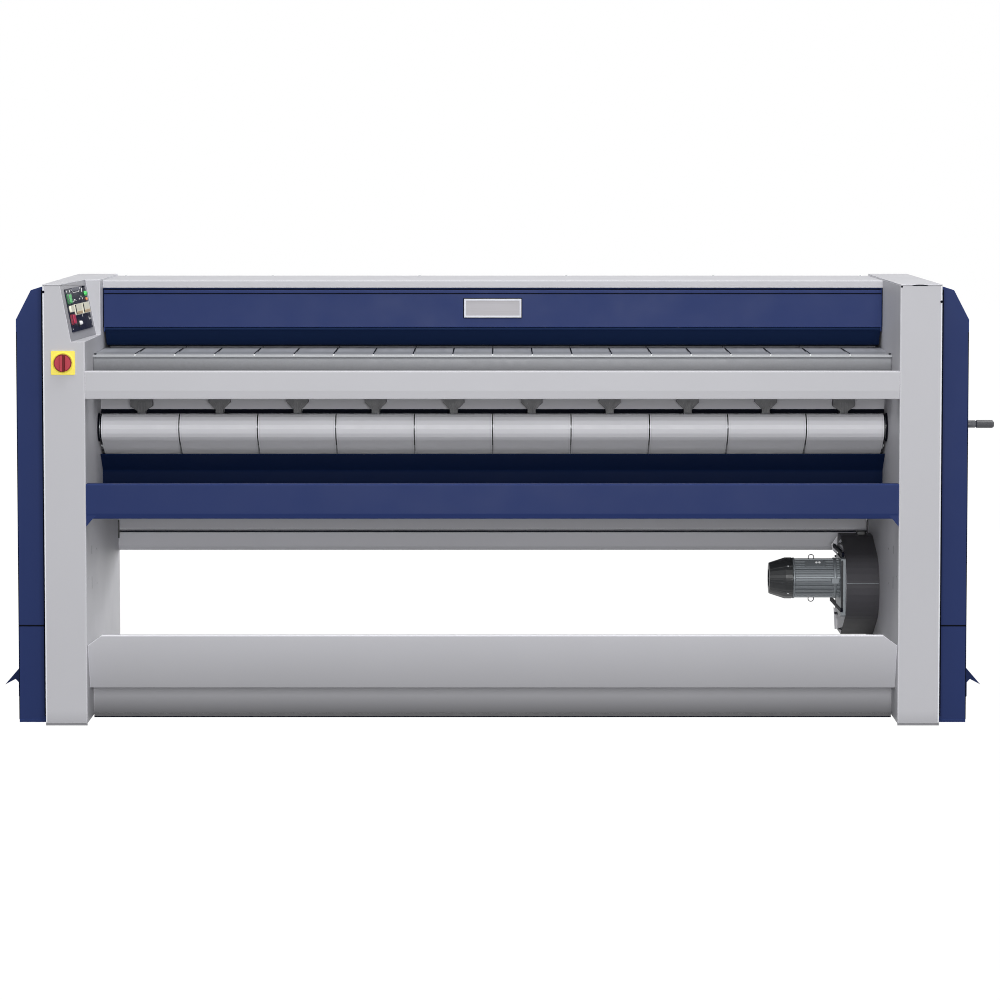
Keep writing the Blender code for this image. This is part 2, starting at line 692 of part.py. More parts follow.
def side_frame(name, side):
    """A column of folded sheet, open to its side cover and closed underneath."""
    edges = (side * INNER_X, side * COLUMN_X)
    outline = rounded(rectangle((edges[0], 0), (edges[1], HOUSING_DEPTH)), FRAME_ROUND, closed=True)
    frame = prism(name, outline, FOOT_LIFT, FRAME_TOP, along_z, LIGHT_GREY)
    inside = (side * (INNER_X + SHEET), side * (COLUMN_X - SHEET))
    low, high = (inside[0], SHEET), (inside[1], HOUSING_DEPTH - SHEET)
    hollow = rounded(rectangle(low, high), FRAME_ROUND - SHEET, closed=True)
    cavity = prism(name + "_cavity", hollow, FOOT_LIFT + SHEET, HOUSING_TOP, along_z, LIGHT_GREY)
    if side < 0:
        cut(cavity, console_notch("console_wall", SHEET))
    cut(frame, cavity)
    window = rectangle((WINDOW_FRONT, FOOT_LIFT + RETURN_FLANGE),
                       (HOUSING_DEPTH - RETURN_FLANGE, FRAME_TOP - RETURN_FLANGE))
    beside = side * (COLUMN_X - SHEET - GAP)
    cut(frame, prism(name + "_window", window, beside, side * (COLUMN_X + OVERRUN), along_x, BLACK))
    holes = bearing_holes()
    if side > 0:
        holes.append(circle((FAN_DEPTH, FAN_AXIS_HEIGHT), FAN_INLET_RADIUS, ROUND_FACETS))
    reach = (side * (INNER_X - OVERRUN), side * (INNER_X + OVERRUN))
    cut(frame, prisms(name + "_holes", holes, *reach, along_x, BLACK))
    stud = hole_for(FOOT_STUD_RADIUS, RUNNING_GAP, SMALL_FACETS)
    studs = [circle((side * x, depth), stud, SMALL_FACETS) for x, depth in foot_places()]
    cut(frame, prisms(name + "_stud_holes", studs, 0, FOOT_LIFT + FOOT_STUD_RADIUS, along_z, BLACK))
    if side < 0:
        cut(frame, console_notch("console_space", 0))
        cut(frame, key_holes(name + "_key_holes"))
        cut(frame, knob_hole(name + "_knob_hole"))
    return frame


def console_notch(name, wall):
    """The space over the console, grown by a wall on the sides where the housing closes it."""
    shift = wall * CONSOLE_FACE.length
    heights = (CONSOLE_LEDGE_HEIGHT - wall, HOUSING_TOP + OVERRUN)
    depths = (-OVERRUN, CONSOLE_DEPTH + wall)
    points = []
    for height in heights:
        for depth in depths:
            points.append(along_x(depth, height, console_x(depth, height) - shift))
            points.append(along_x(depth, height, OVERRUN - INNER_X))
    return hull(name, points, BLACK)


def foot(name, place):
    """A levelling foot with its stud up through the frame's floor."""
    pad_top = FOOT_LIFT - GAP
    profile = [(0, 0), (0, FOOT_RADIUS), (pad_top, FOOT_RADIUS), (pad_top, FOOT_STUD_RADIUS),
               (FOOT_STUD_TOP, FOOT_STUD_RADIUS), (FOOT_STUD_TOP, 0)]
    centre = along_z(place[0], place[1], 0)
    return turned(name, profile, centre, BLACK, (0, 0, 1), SMALL_FACETS, metallic=1.0)


def top_caps():
    """Flat plates that close both columns; the left one leaves the console open."""
    low, high = HOUSING_TOP - CAP_THICKNESS, HOUSING_TOP
    plate = rectangle((INNER_X, 0), (COLUMN_X, HOUSING_DEPTH))
    prism("right_top_cap", plate, low, high, along_z, LIGHT_GREY)
    outline = [(-COLUMN_X, 0), (console_x(0, HOUSING_TOP), 0),
               (console_x(CONSOLE_DEPTH, HOUSING_TOP), CONSOLE_DEPTH),
               (-INNER_X, CONSOLE_DEPTH), (-INNER_X, HOUSING_DEPTH), (-COLUMN_X, HOUSING_DEPTH)]
    prism("left_top_cap", outline, low, high, along_z, LIGHT_GREY)


def side_cover(name, side):
    """The upper blue cover: a pan with a sloped shoulder, open to the column."""
    place = along_y if side > 0 else mirrored_along_y
    near = COLUMN_X + GAP
    seam = COVER_SEAM_HEIGHT + GAP
    rim = COVER_X - COVER_SLOPE_WIDTH - COVER_RIM_WIDTH
    skin = [(COVER_X, seam), (COVER_X, HOUSING_TOP - COVER_SHOULDER_DROP),
            (COVER_X - COVER_SLOPE_WIDTH, HOUSING_TOP - COVER_SLOPE_DROP),
            (rim, HOUSING_TOP - COVER_TOP_DROP), (near, HOUSING_TOP - COVER_TOP_DROP)]
    shell = prism(name, skin + [(near, seam)], COVER_SETBACK, HOUSING_DEPTH, place, BLUE)
    inner = offset(skin, SHEET)
    beside, below = COLUMN_X - OVERRUN, seam - OVERRUN
    hollow = [(inner[0].x, below)] + inner[:-1] + [(beside, inner[-1].y), (beside, below)]
    ends = (COVER_SETBACK + SHEET, HOUSING_DEPTH - SHEET)
    cut(shell, prism(name + "_hollow", hollow, *ends, place, BLUE))
    if side > 0:
        opening = circle((DRIVE_DEPTH, DRIVE_HEIGHT), DRIVE_SHAFT_RADIUS + JOURNAL_CLEARANCE, ROUND_FACETS)
        ends = (COVER_X - OVERRUN, COVER_X + OVERRUN)
        cut(shell, prism(name + "_shaft_hole", opening, *ends, along_x, BLUE))


def service_panel(name, side):
    """The lower blue panel, with the vent cowl that is pressed out of it."""
    place = along_y if side > 0 else mirrored_along_y
    near = COLUMN_X + GAP
    top = COVER_SEAM_HEIGHT - GAP
    skin = [(near, COVER_FLOOR_GAP), (COVER_X, COVER_FLOOR_GAP), (COVER_X, top)]
    shell = prism(name, skin + [(near, top)], COVER_SETBACK, HOUSING_DEPTH, place, BLUE)
    inner = offset(skin, SHEET)
    beside, above = COLUMN_X - OVERRUN, top + OVERRUN
    hollow = [(beside, inner[0].y), inner[1], (inner[2].x, above), (beside, above)]
    ends = (COVER_SETBACK + SHEET, HOUSING_DEPTH - SHEET)
    cut(shell, prism(name + "_hollow", hollow, *ends, place, BLUE))
    root = COVER_X - SHEET / 2
    cowl = [(COVER_X, COWL_TOP), (COVER_X + SIDE_REACH, COWL_TIP_HEIGHT),
            (COVER_X + COWL_UNDER_BODY, COWL_UNDER_HEIGHT), (COVER_X + COWL_BODY, COWL_NECK_HEIGHT),
            (COVER_X + COWL_BODY, COWL_FOOT + COWL_CORNER),
            (COVER_X + COWL_BODY - COWL_CORNER, COWL_FOOT), (COVER_X, COWL_FOOT)]
    ends = (COWL_FRONT, COWL_FRONT + COWL_LENGTH)
    body = prism(name + "_cowl", [(root, COWL_TOP)] + cowl + [(root, COWL_FOOT)], *ends, place, BLUE)
    join(shell, body)
    inside = offset(cowl, -SHEET)
    throat = [(COVER_X - OVERRUN, inside[0].y)] + inside + [(COVER_X - OVERRUN, inside[-1].y)]
    ends = (COWL_FRONT + SHEET, COWL_FRONT + COWL_LENGTH - SHEET)
    cut(shell, prism(name + "_throat", throat, *ends, place, BLUE))


def control_panel():
    """The dark plate on the console's sloped face, with a hole for each key."""
    outline = rectangle((PANEL_FRONT, PANEL_TOP), (PANEL_FRONT + PANEL_LENGTH, PANEL_TOP + PANEL_HEIGHT))
    outline = rounded(outline, KEY_BEVEL, closed=True)
    plate = prism("control_panel", outline, GAP, GAP + PANEL_THICKNESS, on_console, BLACK)
    cut(plate, key_holes("panel_key_holes"))


def keys():
    """Name, middle and size along and down the console, colour and pivot of each key."""
    bar = (BAR_KEY_LENGTH, BAR_KEY_HEIGHT)
    wide = (WIDE_KEY_LENGTH, WIDE_KEY_HEIGHT)
    return [
        ("start_key", (BAR_KEY_ALONG, START_KEY_DOWN), bar, GREEN),
        ("stop_key", (BAR_KEY_ALONG, STOP_KEY_DOWN), bar, RED),
        ("speed_key", (WIDE_KEY_ALONG, WIDE_KEY_DOWN), wide, CREAM),
        ("heat_key", (WIDE_KEY_ALONG + WIDE_KEY_PITCH, WIDE_KEY_DOWN), wide, CREAM),
    ]


def key_outline(middle, size, clearance=0.0):
    half = (size[0] / 2 + clearance, size[1] / 2 + clearance)
    low = (middle[0] - half[0], middle[1] - half[1])
    high = (middle[0] + half[0], middle[1] + half[1])
    return rectangle(low, high)


def key_holes(name):
    """Cutter for the keys' holes through the console plate and the wall behind it."""
    outlines = [key_outline(middle, size, KEY_CLEARANCE) for _, middle, size, _ in keys()]
    return prisms(name, outlines, -OVERRUN, OVERRUN, on_console, BLACK)


def console_keys():
    """Push keys that slide in, and wide keys that rock about a line along the console."""
    front = GAP + PANEL_THICKNESS + KEY_PROUD
    for name, middle, size, colour in keys():
        outline = rounded(key_outline(middle, size), KEY_BEVEL, closed=True)
        key = prism(name, outline, front - KEY_DEPTH, front, on_console, colour)
        hang_on(key, on_console(middle[0], middle[1], WIDE_KEY_PIVOT_DEPTH))


def knob_centre(depth=0.0):
    return along_y(SWITCH_INBOARD - COLUMN_X, SWITCH_HEIGHT, depth)


def knob_hole(name):
    """Cutter for the main switch's shaft hole."""
    radius = hole_for(KNOB_SHAFT_RADIUS, RUNNING_GAP, SMALL_FACETS)
    centre = knob_centre()
    hole = circle((centre.x, centre.z), radius, SMALL_FACETS)
    return prism(name, hole, -OVERRUN, OVERRUN, along_y, BLACK)


def main_switch():
    """The yellow plate and the red knob that turns in it."""
    centre = knob_centre()
    half = SWITCH_SIDE / 2
    outline = rectangle((centre.x - half, centre.z - half), (centre.x + half, centre.z + half))
    outline = rounded(outline, SWITCH_PLATE_ROUND, closed=True)
    plate_front = -GAP - SWITCH_PLATE_THICKNESS
    plate = prism("switch_plate", outline, plate_front, -GAP, along_y, YELLOW)
    cut(plate, knob_hole("plate_knob_hole"))
    back = plate_front - GAP
    base_front = back - KNOB_BASE
    profile = [(base_front, 0), (base_front, KNOB_RADIUS), (back, KNOB_RADIUS),
               (back, KNOB_SHAFT_RADIUS), (KNOB_SHAFT_LENGTH, KNOB_SHAFT_RADIUS), (KNOB_SHAFT_LENGTH, 0)]
    knob = turned("switch_knob", profile, centre, RED, (0, 1, 0))
    reach = KNOB_RADIUS - KNOB_BAR_INSET
    width = KNOB_BAR_WIDTH / 2
    bar = rectangle((centre.x - width, centre.z - reach), (centre.x + width, centre.z + reach))
    grip = prism("knob_bar", rounded(bar, KEY_BEVEL, closed=True), -KNOB_REACH, back - SHEET, along_y, RED)
    join(knob, grip)
    hang_on(knob, centre)


def front_rail():
    """Light channel across the front, its lower edge set back a little."""
    top = RAIL_BOTTOM + RAIL_HEIGHT
    path = [(RAIL_FLANGE, top), (0, top), (0, RAIL_BOTTOM + RAIL_FOLD_RISE),
            (RAIL_FOLD_SET, RAIL_BOTTOM), (RAIL_FLANGE, RAIL_BOTTOM)]
    folded_sheet("front_rail", path, LIGHT_GREY, RAIL_ROUND)


def chute_rail():
    """Blue channel in front of the delivery chute, with a pointed gusset at each end."""
    bottom, top = CHUTE_RAIL_BOTTOM, CHUTE_RAIL_BOTTOM + CHUTE_RAIL_HEIGHT
    fold = bottom + CHUTE_RAIL_FOLD_RISE
    path = [(CHUTE_RAIL_FLANGE, top), (0, top), (0, fold), (RAIL_FOLD_SET, bottom),
            (CHUTE_RAIL_FLANGE, bottom)]
    rail = folded_sheet("chute_rail", path, BLUE, RAIL_ROUND)
    tips = []
    for side in (-1, 1):
        tips.append([(side * SPAN, fold + CHUTE_RAIL_FOLD_RISE), (side * SPAN, bottom - CHUTE_TIP_DROP),
                     (side * (SPAN - CHUTE_TIP_WIDTH), fold)])
    join(rail, prisms("chute_rail_tips", tips, RAIL_FOLD_SET / 3, SHEET + RAIL_FOLD_SET / 3, along_y, BLUE))


def linen_trough():
    """The trough that catches the ironed linen; its front corners are cut off."""
    path = [(TROUGH_LIP, TROUGH_TOP), (0, TROUGH_TOP), (TROUGH_SLOPE, TROUGH_BOTTOM),
            (TROUGH_REAR - TROUGH_REAR_SLOPE, TROUGH_BOTTOM), (TROUGH_REAR, TROUGH_REAR_TOP)]
    trough = folded_sheet("linen_trough", path, LIGHT_GREY, RAIL_ROUND)
    corners = []
    for side in (-1, 1):
        beyond = SPAN + OVERRUN
        slope = TROUGH_CORNER_DROP / TROUGH_CORNER_WIDTH
        low, high = TROUGH_CORNER_DROP + OVERRUN * slope, OVERRUN
        corners.append([(side * beyond, TROUGH_TOP - low),
                        (side * (SPAN - TROUGH_CORNER_WIDTH - high / slope), TROUGH_TOP + high),
                        (side * beyond, TROUGH_TOP + high)])
    cut(trough, prisms("trough_corners", corners, -OVERRUN, TROUGH_SLOPE, along_y, LIGHT_GREY))


def kick_panel():
    top = TROUGH_BOTTOM - GAP
    path = [(KICK_DEPTH + KICK_FLANGE, top), (KICK_DEPTH, top), (KICK_DEPTH, KICK_FLOOR_GAP),
            (KICK_DEPTH + KICK_FLANGE, KICK_FLOOR_GAP)]
    folded_sheet("kick_panel", path, LIGHT_GREY, RAIL_ROUND)


def feed_table():
    """The slotted plate that the linen slides over, with its apron behind the front rail."""
    apron_foot = TABLE_LIP_HEIGHT - TABLE_APRON_DROP
    path = [(TABLE_REAR_DEPTH, TABLE_REAR_HEIGHT - TABLE_REAR_LIP), (TABLE_REAR_DEPTH, TABLE_REAR_HEIGHT),
            (TABLE_SHOULDER_DEPTH, TABLE_SHOULDER_HEIGHT), (TABLE_LIP_DEPTH, TABLE_LIP_HEIGHT),
            (TABLE_LIP_DEPTH, apron_foot), (TABLE_LIP_DEPTH + TABLE_APRON_FLANGE, apron_foot)]
    table = folded_sheet("feed_table", path, TABLE_GREY, TABLE_LIP_ROUND, metallic=0.6)
    slots = []
    ends = (TABLE_SHOULDER_DEPTH + TABLE_SLOT_MARGIN, TABLE_REAR_DEPTH - TABLE_SLOT_MARGIN)
    for index in range(1, TABLE_STRIPS):
        middle = (index - TABLE_STRIPS / 2) * TABLE_STRIP_PITCH
        half = TABLE_SLOT_WIDTH / 2
        slots.append(rectangle((middle - half, ends[0]), (middle + half, ends[1])))
    heights = (TABLE_SHOULDER_HEIGHT - OVERRUN, TABLE_REAR_HEIGHT + OVERRUN)
    cut(table, prisms("table_slots", slots, *heights, along_z, TABLE_GREY))


def top_cover():
    lip = TOP_COVER_HEIGHT - TOP_COVER_LIP
    path = [(HOUSING_DEPTH, TOP_COVER_HEIGHT - TOP_COVER_REAR_LIP), (HOUSING_DEPTH, TOP_COVER_HEIGHT),
            (HOOD_DEPTH, TOP_COVER_HEIGHT), (HOOD_DEPTH, lip)]
    folded_sheet("top_cover", path, LIGHT_GREY, RAIL_ROUND)


def hood_panel():
    """The blue hood over the cylinder's entry: a sheet hung from a bar, with a cheek at each
    end that holds the finger guard."""
    end = INNER_X - HOOD_END_GAP
    pin_end = INNER_X + SHEET - GAP
    profile = [(-pin_end, 0), (-pin_end, HOOD_PIN_RADIUS), (-end, HOOD_PIN_RADIUS),
               (-end, HOOD_BAR_RADIUS), (end, HOOD_BAR_RADIUS), (end, HOOD_PIN_RADIUS),
               (pin_end, HOOD_PIN_RADIUS), (pin_end, 0)]
    pivot = axis_at(HOOD_AXIS_DEPTH, HOOD_AXIS_HEIGHT)
    hood = turned("hood_panel", profile, pivot, BLUE, facets=SMALL_FACETS)
    face = [(HOOD_DEPTH, HOOD_AXIS_HEIGHT), (HOOD_DEPTH, HOOD_BOTTOM),
            (HOOD_DEPTH + HOOD_CHEEK_DEPTH, HOOD_BOTTOM)]
    join(hood, folded_sheet("hood_sheet", face, BLUE, half_length=end))
    side = rectangle((HOOD_DEPTH + SHEET / 2, HOOD_BOTTOM - HOOD_CHEEK_DROP),
                     (HOOD_DEPTH + HOOD_CHEEK_DEPTH, HOOD_BOTTOM + HOOD_CHEEK_DEPTH))
    for name, near in (("left_cheek", -end), ("right_cheek", end - HOOD_CHEEK_THICKNESS)):
        join(hood, prism(name, side, near, near + HOOD_CHEEK_THICKNESS, along_x, BLUE))
    pin = hole_for(GUARD_PIN_RADIUS, RUNNING_GAP, SMALL_FACETS)
    holes = circle((GUARD_AXIS_DEPTH, GUARD_AXIS_HEIGHT), pin, SMALL_FACETS)
    for name, near in (("left_cheek_hole", -end), ("right_cheek_hole", end - HOOD_CHEEK_THICKNESS)):
        reach = (near - HOOD_CHEEK_THICKNESS, near + 2 * HOOD_CHEEK_THICKNESS)
        cut(hood, prism(name, holes, *reach, along_x, BLUE))
    hang_on(hood, pivot)


def finger_guard():
    """The dark flap under the hood, which gives way when a hand is drawn in."""
    end = GUARD_HALF_LENGTH
    pin_end = end + HOOD_CHEEK_THICKNESS
    profile = [(-pin_end, 0), (-pin_end, GUARD_PIN_RADIUS), (-end, GUARD_PIN_RADIUS),
               (-end, GUARD_BAR_RADIUS), (end, GUARD_BAR_RADIUS), (end, GUARD_PIN_RADIUS),
               (pin_end, GUARD_PIN_RADIUS), (pin_end, 0)]
    pivot = axis_at(GUARD_AXIS_DEPTH, GUARD_AXIS_HEIGHT)
    guard = turned("finger_guard", profile, pivot, DARK_BLUE, facets=SMALL_FACETS)
    tip = (HOOD_DEPTH + GUARD_TIP_RUN, TABLE_REAR_HEIGHT + GUARD_OVER_TABLE)
    face = [(GUARD_AXIS_DEPTH, GUARD_AXIS_HEIGHT), tip]
    join(guard, folded_sheet("guard_sheet", face, DARK_BLUE, half_length=end))
    hang_on(guard, pivot)


def rear_panels():
    """The upper rear panel, and the channel under it."""
    skin = HOUSING_DEPTH - REAR_SHEET_INSET
    foot_edge = REAR_BEAM_TOP + REAR_PANEL_GAP
    path = [(skin - REAR_PANEL_FLANGE, foot_edge), (skin, foot_edge),
            (skin, TOP_COVER_HEIGHT - SHEET - RAIL_ROUND)]
    folded_sheet("rear_panel", path, LIGHT_GREY, RAIL_ROUND)
    front = skin - REAR_BEAM_DEPTH
    path = [(skin, REAR_BEAM_TOP), (front, REAR_BEAM_TOP), (front, REAR_BEAM_TOP - REAR_BEAM_FOLD_DROP),
            (front + REAR_BEAM_FOLD_SET, REAR_BEAM_BOTTOM), (skin, REAR_BEAM_BOTTOM)]
    folded_sheet("rear_beam", path, LIGHT_GREY, RAIL_ROUND)


def delivery_chute():
    knee = (CHUTE_TOP_DEPTH + CHUTE_KNEE_RUN, CHUTE_TOP_HEIGHT - CHUTE_KNEE_DROP)
    path = [(CHUTE_TOP_DEPTH, CHUTE_TOP_HEIGHT), knee, (knee[0], knee[1] - CHUTE_SKIRT_DROP)]
    folded_sheet("delivery_chute", path, DARK_BLUE, TABLE_LIP_ROUND)


def stripper_bar():
    """The angle that carries one stripper finger over the middle of each belt."""
    top = STRIPPER_BOTTOM + STRIPPER_HEIGHT
    path = [(STRIPPER_DEPTH - STRIPPER_FLANGE, top), (STRIPPER_DEPTH, top),
            (STRIPPER_DEPTH, STRIPPER_BOTTOM)]
    bar = folded_sheet("stripper_bar", path, LIGHT_GREY)
    tip = STRIPPER_BOTTOM - FINGER_TIP_DROP
    neck = tip + FINGER_NECK_HEIGHT
    flare = neck + FINGER_FLARE_HEIGHT
    head = flare + FINGER_HEAD_HEIGHT
    thin, wide = FINGER_NECK_WIDTH / 2, FINGER_HEAD_WIDTH / 2
    half = [(thin, tip), (thin, neck), (wide, flare), (wide, head)]
    fingers = []
    for middle in belt_middles():
        right = [(middle + x, height) for x, height in half]
        left = [(middle - x, height) for x, height in reversed(half)]
        fingers.append(right + left)
    ends = (STRIPPER_DEPTH - FINGER_DEPTH, STRIPPER_DEPTH + SHEET / 2)
    join(bar, prisms("fingers", fingers, *ends, along_y, DARK_STEEL))


def belt_middles():
    return [(index - (BELT_COUNT - 1) / 2) * BELT_PITCH for index in range(BELT_COUNT)]


def ironing_belts():
    """Wide belts that press the linen to the cylinder and carry it back to the front."""
    path = belt_path(ironing_wheels())
    half = (BELT_PITCH - BELT_GAP) / 2
    for number, middle in enumerate(belt_middles(), start=1):
        name = f"ironing_belt_{number:02d}"
        band(name, path, BELT_THICKNESS, middle - half, middle + half, BELT_GREY)


def roller(name, depth, height, radius, facets=ROUND_FACETS):
    """A tube with end plugs and hollow journals that turn in the side frames."""
    end = INNER_X - ROLLER_END_GAP
    tip = INNER_X + SHEET - GAP
    plug, tube = end - 2 * ROLLER_WALL, radius - ROLLER_WALL
    outer = [(-tip, ROLLER_JOURNAL_RADIUS), (-end, ROLLER_JOURNAL_RADIUS), (-end, radius),
             (end, radius), (end, ROLLER_JOURNAL_RADIUS), (tip, ROLLER_JOURNAL_RADIUS)]
    inner = [(tip, ROLLER_BORE), (plug, ROLLER_BORE), (plug, tube),
             (-plug, tube), (-plug, ROLLER_BORE), (-tip, ROLLER_BORE)]
    pivot = axis_at(depth, height)
    thing = turned(name, outer + inner, pivot, STEEL, facets=facets, metallic=1.0)
    hang_on(thing, pivot)


def rollers():
    roller("return_roller", RETURN_ROLLER_DEPTH, RETURN_ROLLER_HEIGHT, RETURN_ROLLER_RADIUS)
    roller("lower_idler", LOWER_IDLER_DEPTH, LOWER_IDLER_HEIGHT, LOWER_IDLER_RADIUS, SMALL_FACETS)
    roller("rear_lower_roller", REAR_ROLLER_DEPTH, rear_lower_height(), REAR_ROLLER_RADIUS, SMALL_FACETS)
    roller("rear_upper_roller", REAR_ROLLER_DEPTH, rear_upper_height(), REAR_ROLLER_RADIUS, SMALL_FACETS)
    roller("feed_roller", *feed_roller_centre(), FEED_ROLLER_RADIUS, SMALL_FACETS)


def ironing_cylinder():
    """The heated drum: a polished tube, end plates and hollow journals."""
    end = INNER_X - CYLINDER_END_GAP
    bore = CYLINDER_RADIUS - CYLINDER_WALL
    back = end - CYLINDER_END_WALL
    left_tip = WALL_IN_X + BEARING_LENGTH - SHEET
    right_tip = PULLEY_X + PULLEY_WIDTH
    profile = [(end, CYLINDER_RADIUS), (end, JOURNAL_RADIUS), (right_tip, JOURNAL_RADIUS),
               (right_tip, JOURNAL_BORE), (back, JOURNAL_BORE), (back, bore), (-back, bore),
               (-back, JOURNAL_BORE), (-left_tip, JOURNAL_BORE), (-left_tip, JOURNAL_RADIUS),
               (-end, JOURNAL_RADIUS), (-end, CYLINDER_RADIUS)]
    pivot = axis_at(CYLINDER_DEPTH, CYLINDER_HEIGHT)
    drum = turned("ironing_cylinder", profile, pivot, STEEL, facets=DRUM_FACETS,
                  roughness=0.2, metallic=1.0)
    hang_on(drum, pivot)


def cylinder_bearings():
    """Flanged bearings on the inside of both side frames."""
    bore = hole_for(JOURNAL_RADIUS, RUNNING_GAP, ROUND_FACETS)
    profile = [(0, bore), (0, BEARING_FLANGE_RADIUS), (BEARING_FLANGE, BEARING_FLANGE_RADIUS),
               (BEARING_FLANGE, BEARING_HUB_RADIUS), (BEARING_LENGTH, BEARING_HUB_RADIUS),
               (BEARING_LENGTH, bore)]
    for name, side in (("left_cylinder_bearing", -1), ("right_cylinder_bearing", 1)):
        centre = axis_at(CYLINDER_DEPTH, CYLINDER_HEIGHT, side * WALL_IN_X)
        turned(name, profile, centre, DARK_STEEL, (side, 0, 0), metallic=1.0)


def burner_tube():
    """The burner that heats the drum from inside, bolted to the left bearing by its flange."""
    flange = WALL_IN_X + BEARING_LENGTH + GAP
    inlet = flange + BURNER_FLANGE + BURNER_INLET
    bore = BURNER_RADIUS - BURNER_WALL
    tip = BURNER_END_GAP - INNER_X
    profile = [(inlet, BURNER_RADIUS), (flange + BURNER_FLANGE, BURNER_RADIUS),
               (flange + BURNER_FLANGE, BURNER_FLANGE_RADIUS), (flange, BURNER_FLANGE_RADIUS),
               (flange, BURNER_RADIUS), (tip, BURNER_RADIUS), (tip, bore), (inlet, bore)]
    centre = axis_at(CYLINDER_DEPTH, CYLINDER_HEIGHT)
    turned("burner_tube", profile, centre, STEEL, (-1, 0, 0), SMALL_FACETS, metallic=1.0)


def grooved_pulley(radius, bore, boss=()):
    """Profile of a pulley with one flat groove; boss points take the place of the bore's."""
    left = PULLEY_X + (PULLEY_WIDTH - PULLEY_GROOVE_WIDTH) / 2
    right = left + PULLEY_GROOVE_WIDTH
    floor = radius - PULLEY_GROOVE_DEPTH
    rim = [(PULLEY_X, radius), (left, radius), (left, floor), (right, floor), (right, radius),
           (PULLEY_X + PULLEY_WIDTH, radius)]
    ends = list(boss) or [(PULLEY_X + PULLEY_WIDTH, bore), (PULLEY_X, bore)]
    return rim + ends


def drive():
    """Pulleys, drive belt, gear motor and the hand crank on the drive shaft's outer end."""
    cylinder_axis = axis_at(CYLINDER_DEPTH, CYLINDER_HEIGHT)
    profile = grooved_pulley(CYLINDER_PULLEY_RADIUS, JOURNAL_RADIUS + GAP)
    wheel = turned("cylinder_pulley", profile, cylinder_axis, DARK_STEEL, facets=DRUM_FACETS, metallic=1.0)
    hang_on(wheel, cylinder_axis)
    drive_axis = axis_at(DRIVE_DEPTH, DRIVE_HEIGHT)
    start = WALL_IN_X + GEARBOX_SIZE[0] + GAP
    tip = CRANK_X + CRANK_BORE_DEPTH - GAP
    shaft = [(PULLEY_X + PULLEY_WIDTH, DRIVE_SHAFT_RADIUS), (tip, DRIVE_SHAFT_RADIUS), (tip, 0),
             (start, 0), (start, DRIVE_SHAFT_RADIUS), (PULLEY_X, DRIVE_SHAFT_RADIUS)]
    profile = grooved_pulley(DRIVE_PULLEY_RADIUS, 0, shaft)
    wheel = turned("drive_pulley", profile, drive_axis, DARK_STEEL, metallic=1.0)
    hang_on(wheel, drive_axis)
    centre_line = VBELT_THICKNESS / 2 + RUNNING_GAP - PULLEY_GROOVE_DEPTH
    wheels = []
    for depth, height, radius in ((DRIVE_DEPTH, DRIVE_HEIGHT, DRIVE_PULLEY_RADIUS),
                                  (CYLINDER_DEPTH, CYLINDER_HEIGHT, CYLINDER_PULLEY_RADIUS)):
        corner = belt_radius(radius + centre_line, BELT_FINE_STEP)
        wheels.append((depth, height, corner, 1, BELT_FINE_STEP))
    low = PULLEY_X + (PULLEY_WIDTH - VBELT_WIDTH) / 2
    band("drive_belt", belt_path(wheels), VBELT_THICKNESS, low, low + VBELT_WIDTH, BLACK)
    gearmotor()
    hand_crank(drive_axis)


def gearmotor():
    """A gearbox against the right side frame, with its motor hanging under it."""
    width, depth, height = GEARBOX_SIZE
    outline = rectangle((DRIVE_DEPTH - depth / 2, DRIVE_HEIGHT - height / 2),
                        (DRIVE_DEPTH + depth / 2, DRIVE_HEIGHT + height / 2))
    outline = rounded(outline, FRAME_ROUND, closed=True)
    box = prism("gearmotor", outline, WALL_IN_X, WALL_IN_X + width, along_x, DARK_STEEL)
    top = DRIVE_HEIGHT - height / 2 + MOTOR_PILOT
    middle = (WALL_IN_X + width / 2, DRIVE_DEPTH)
    body = prism("gearmotor_body", circle(middle, MOTOR_RADIUS - GAP, ROUND_FACETS),
                 top - MOTOR_DROP, top, along_z, DARK_STEEL)
    join(box, body)


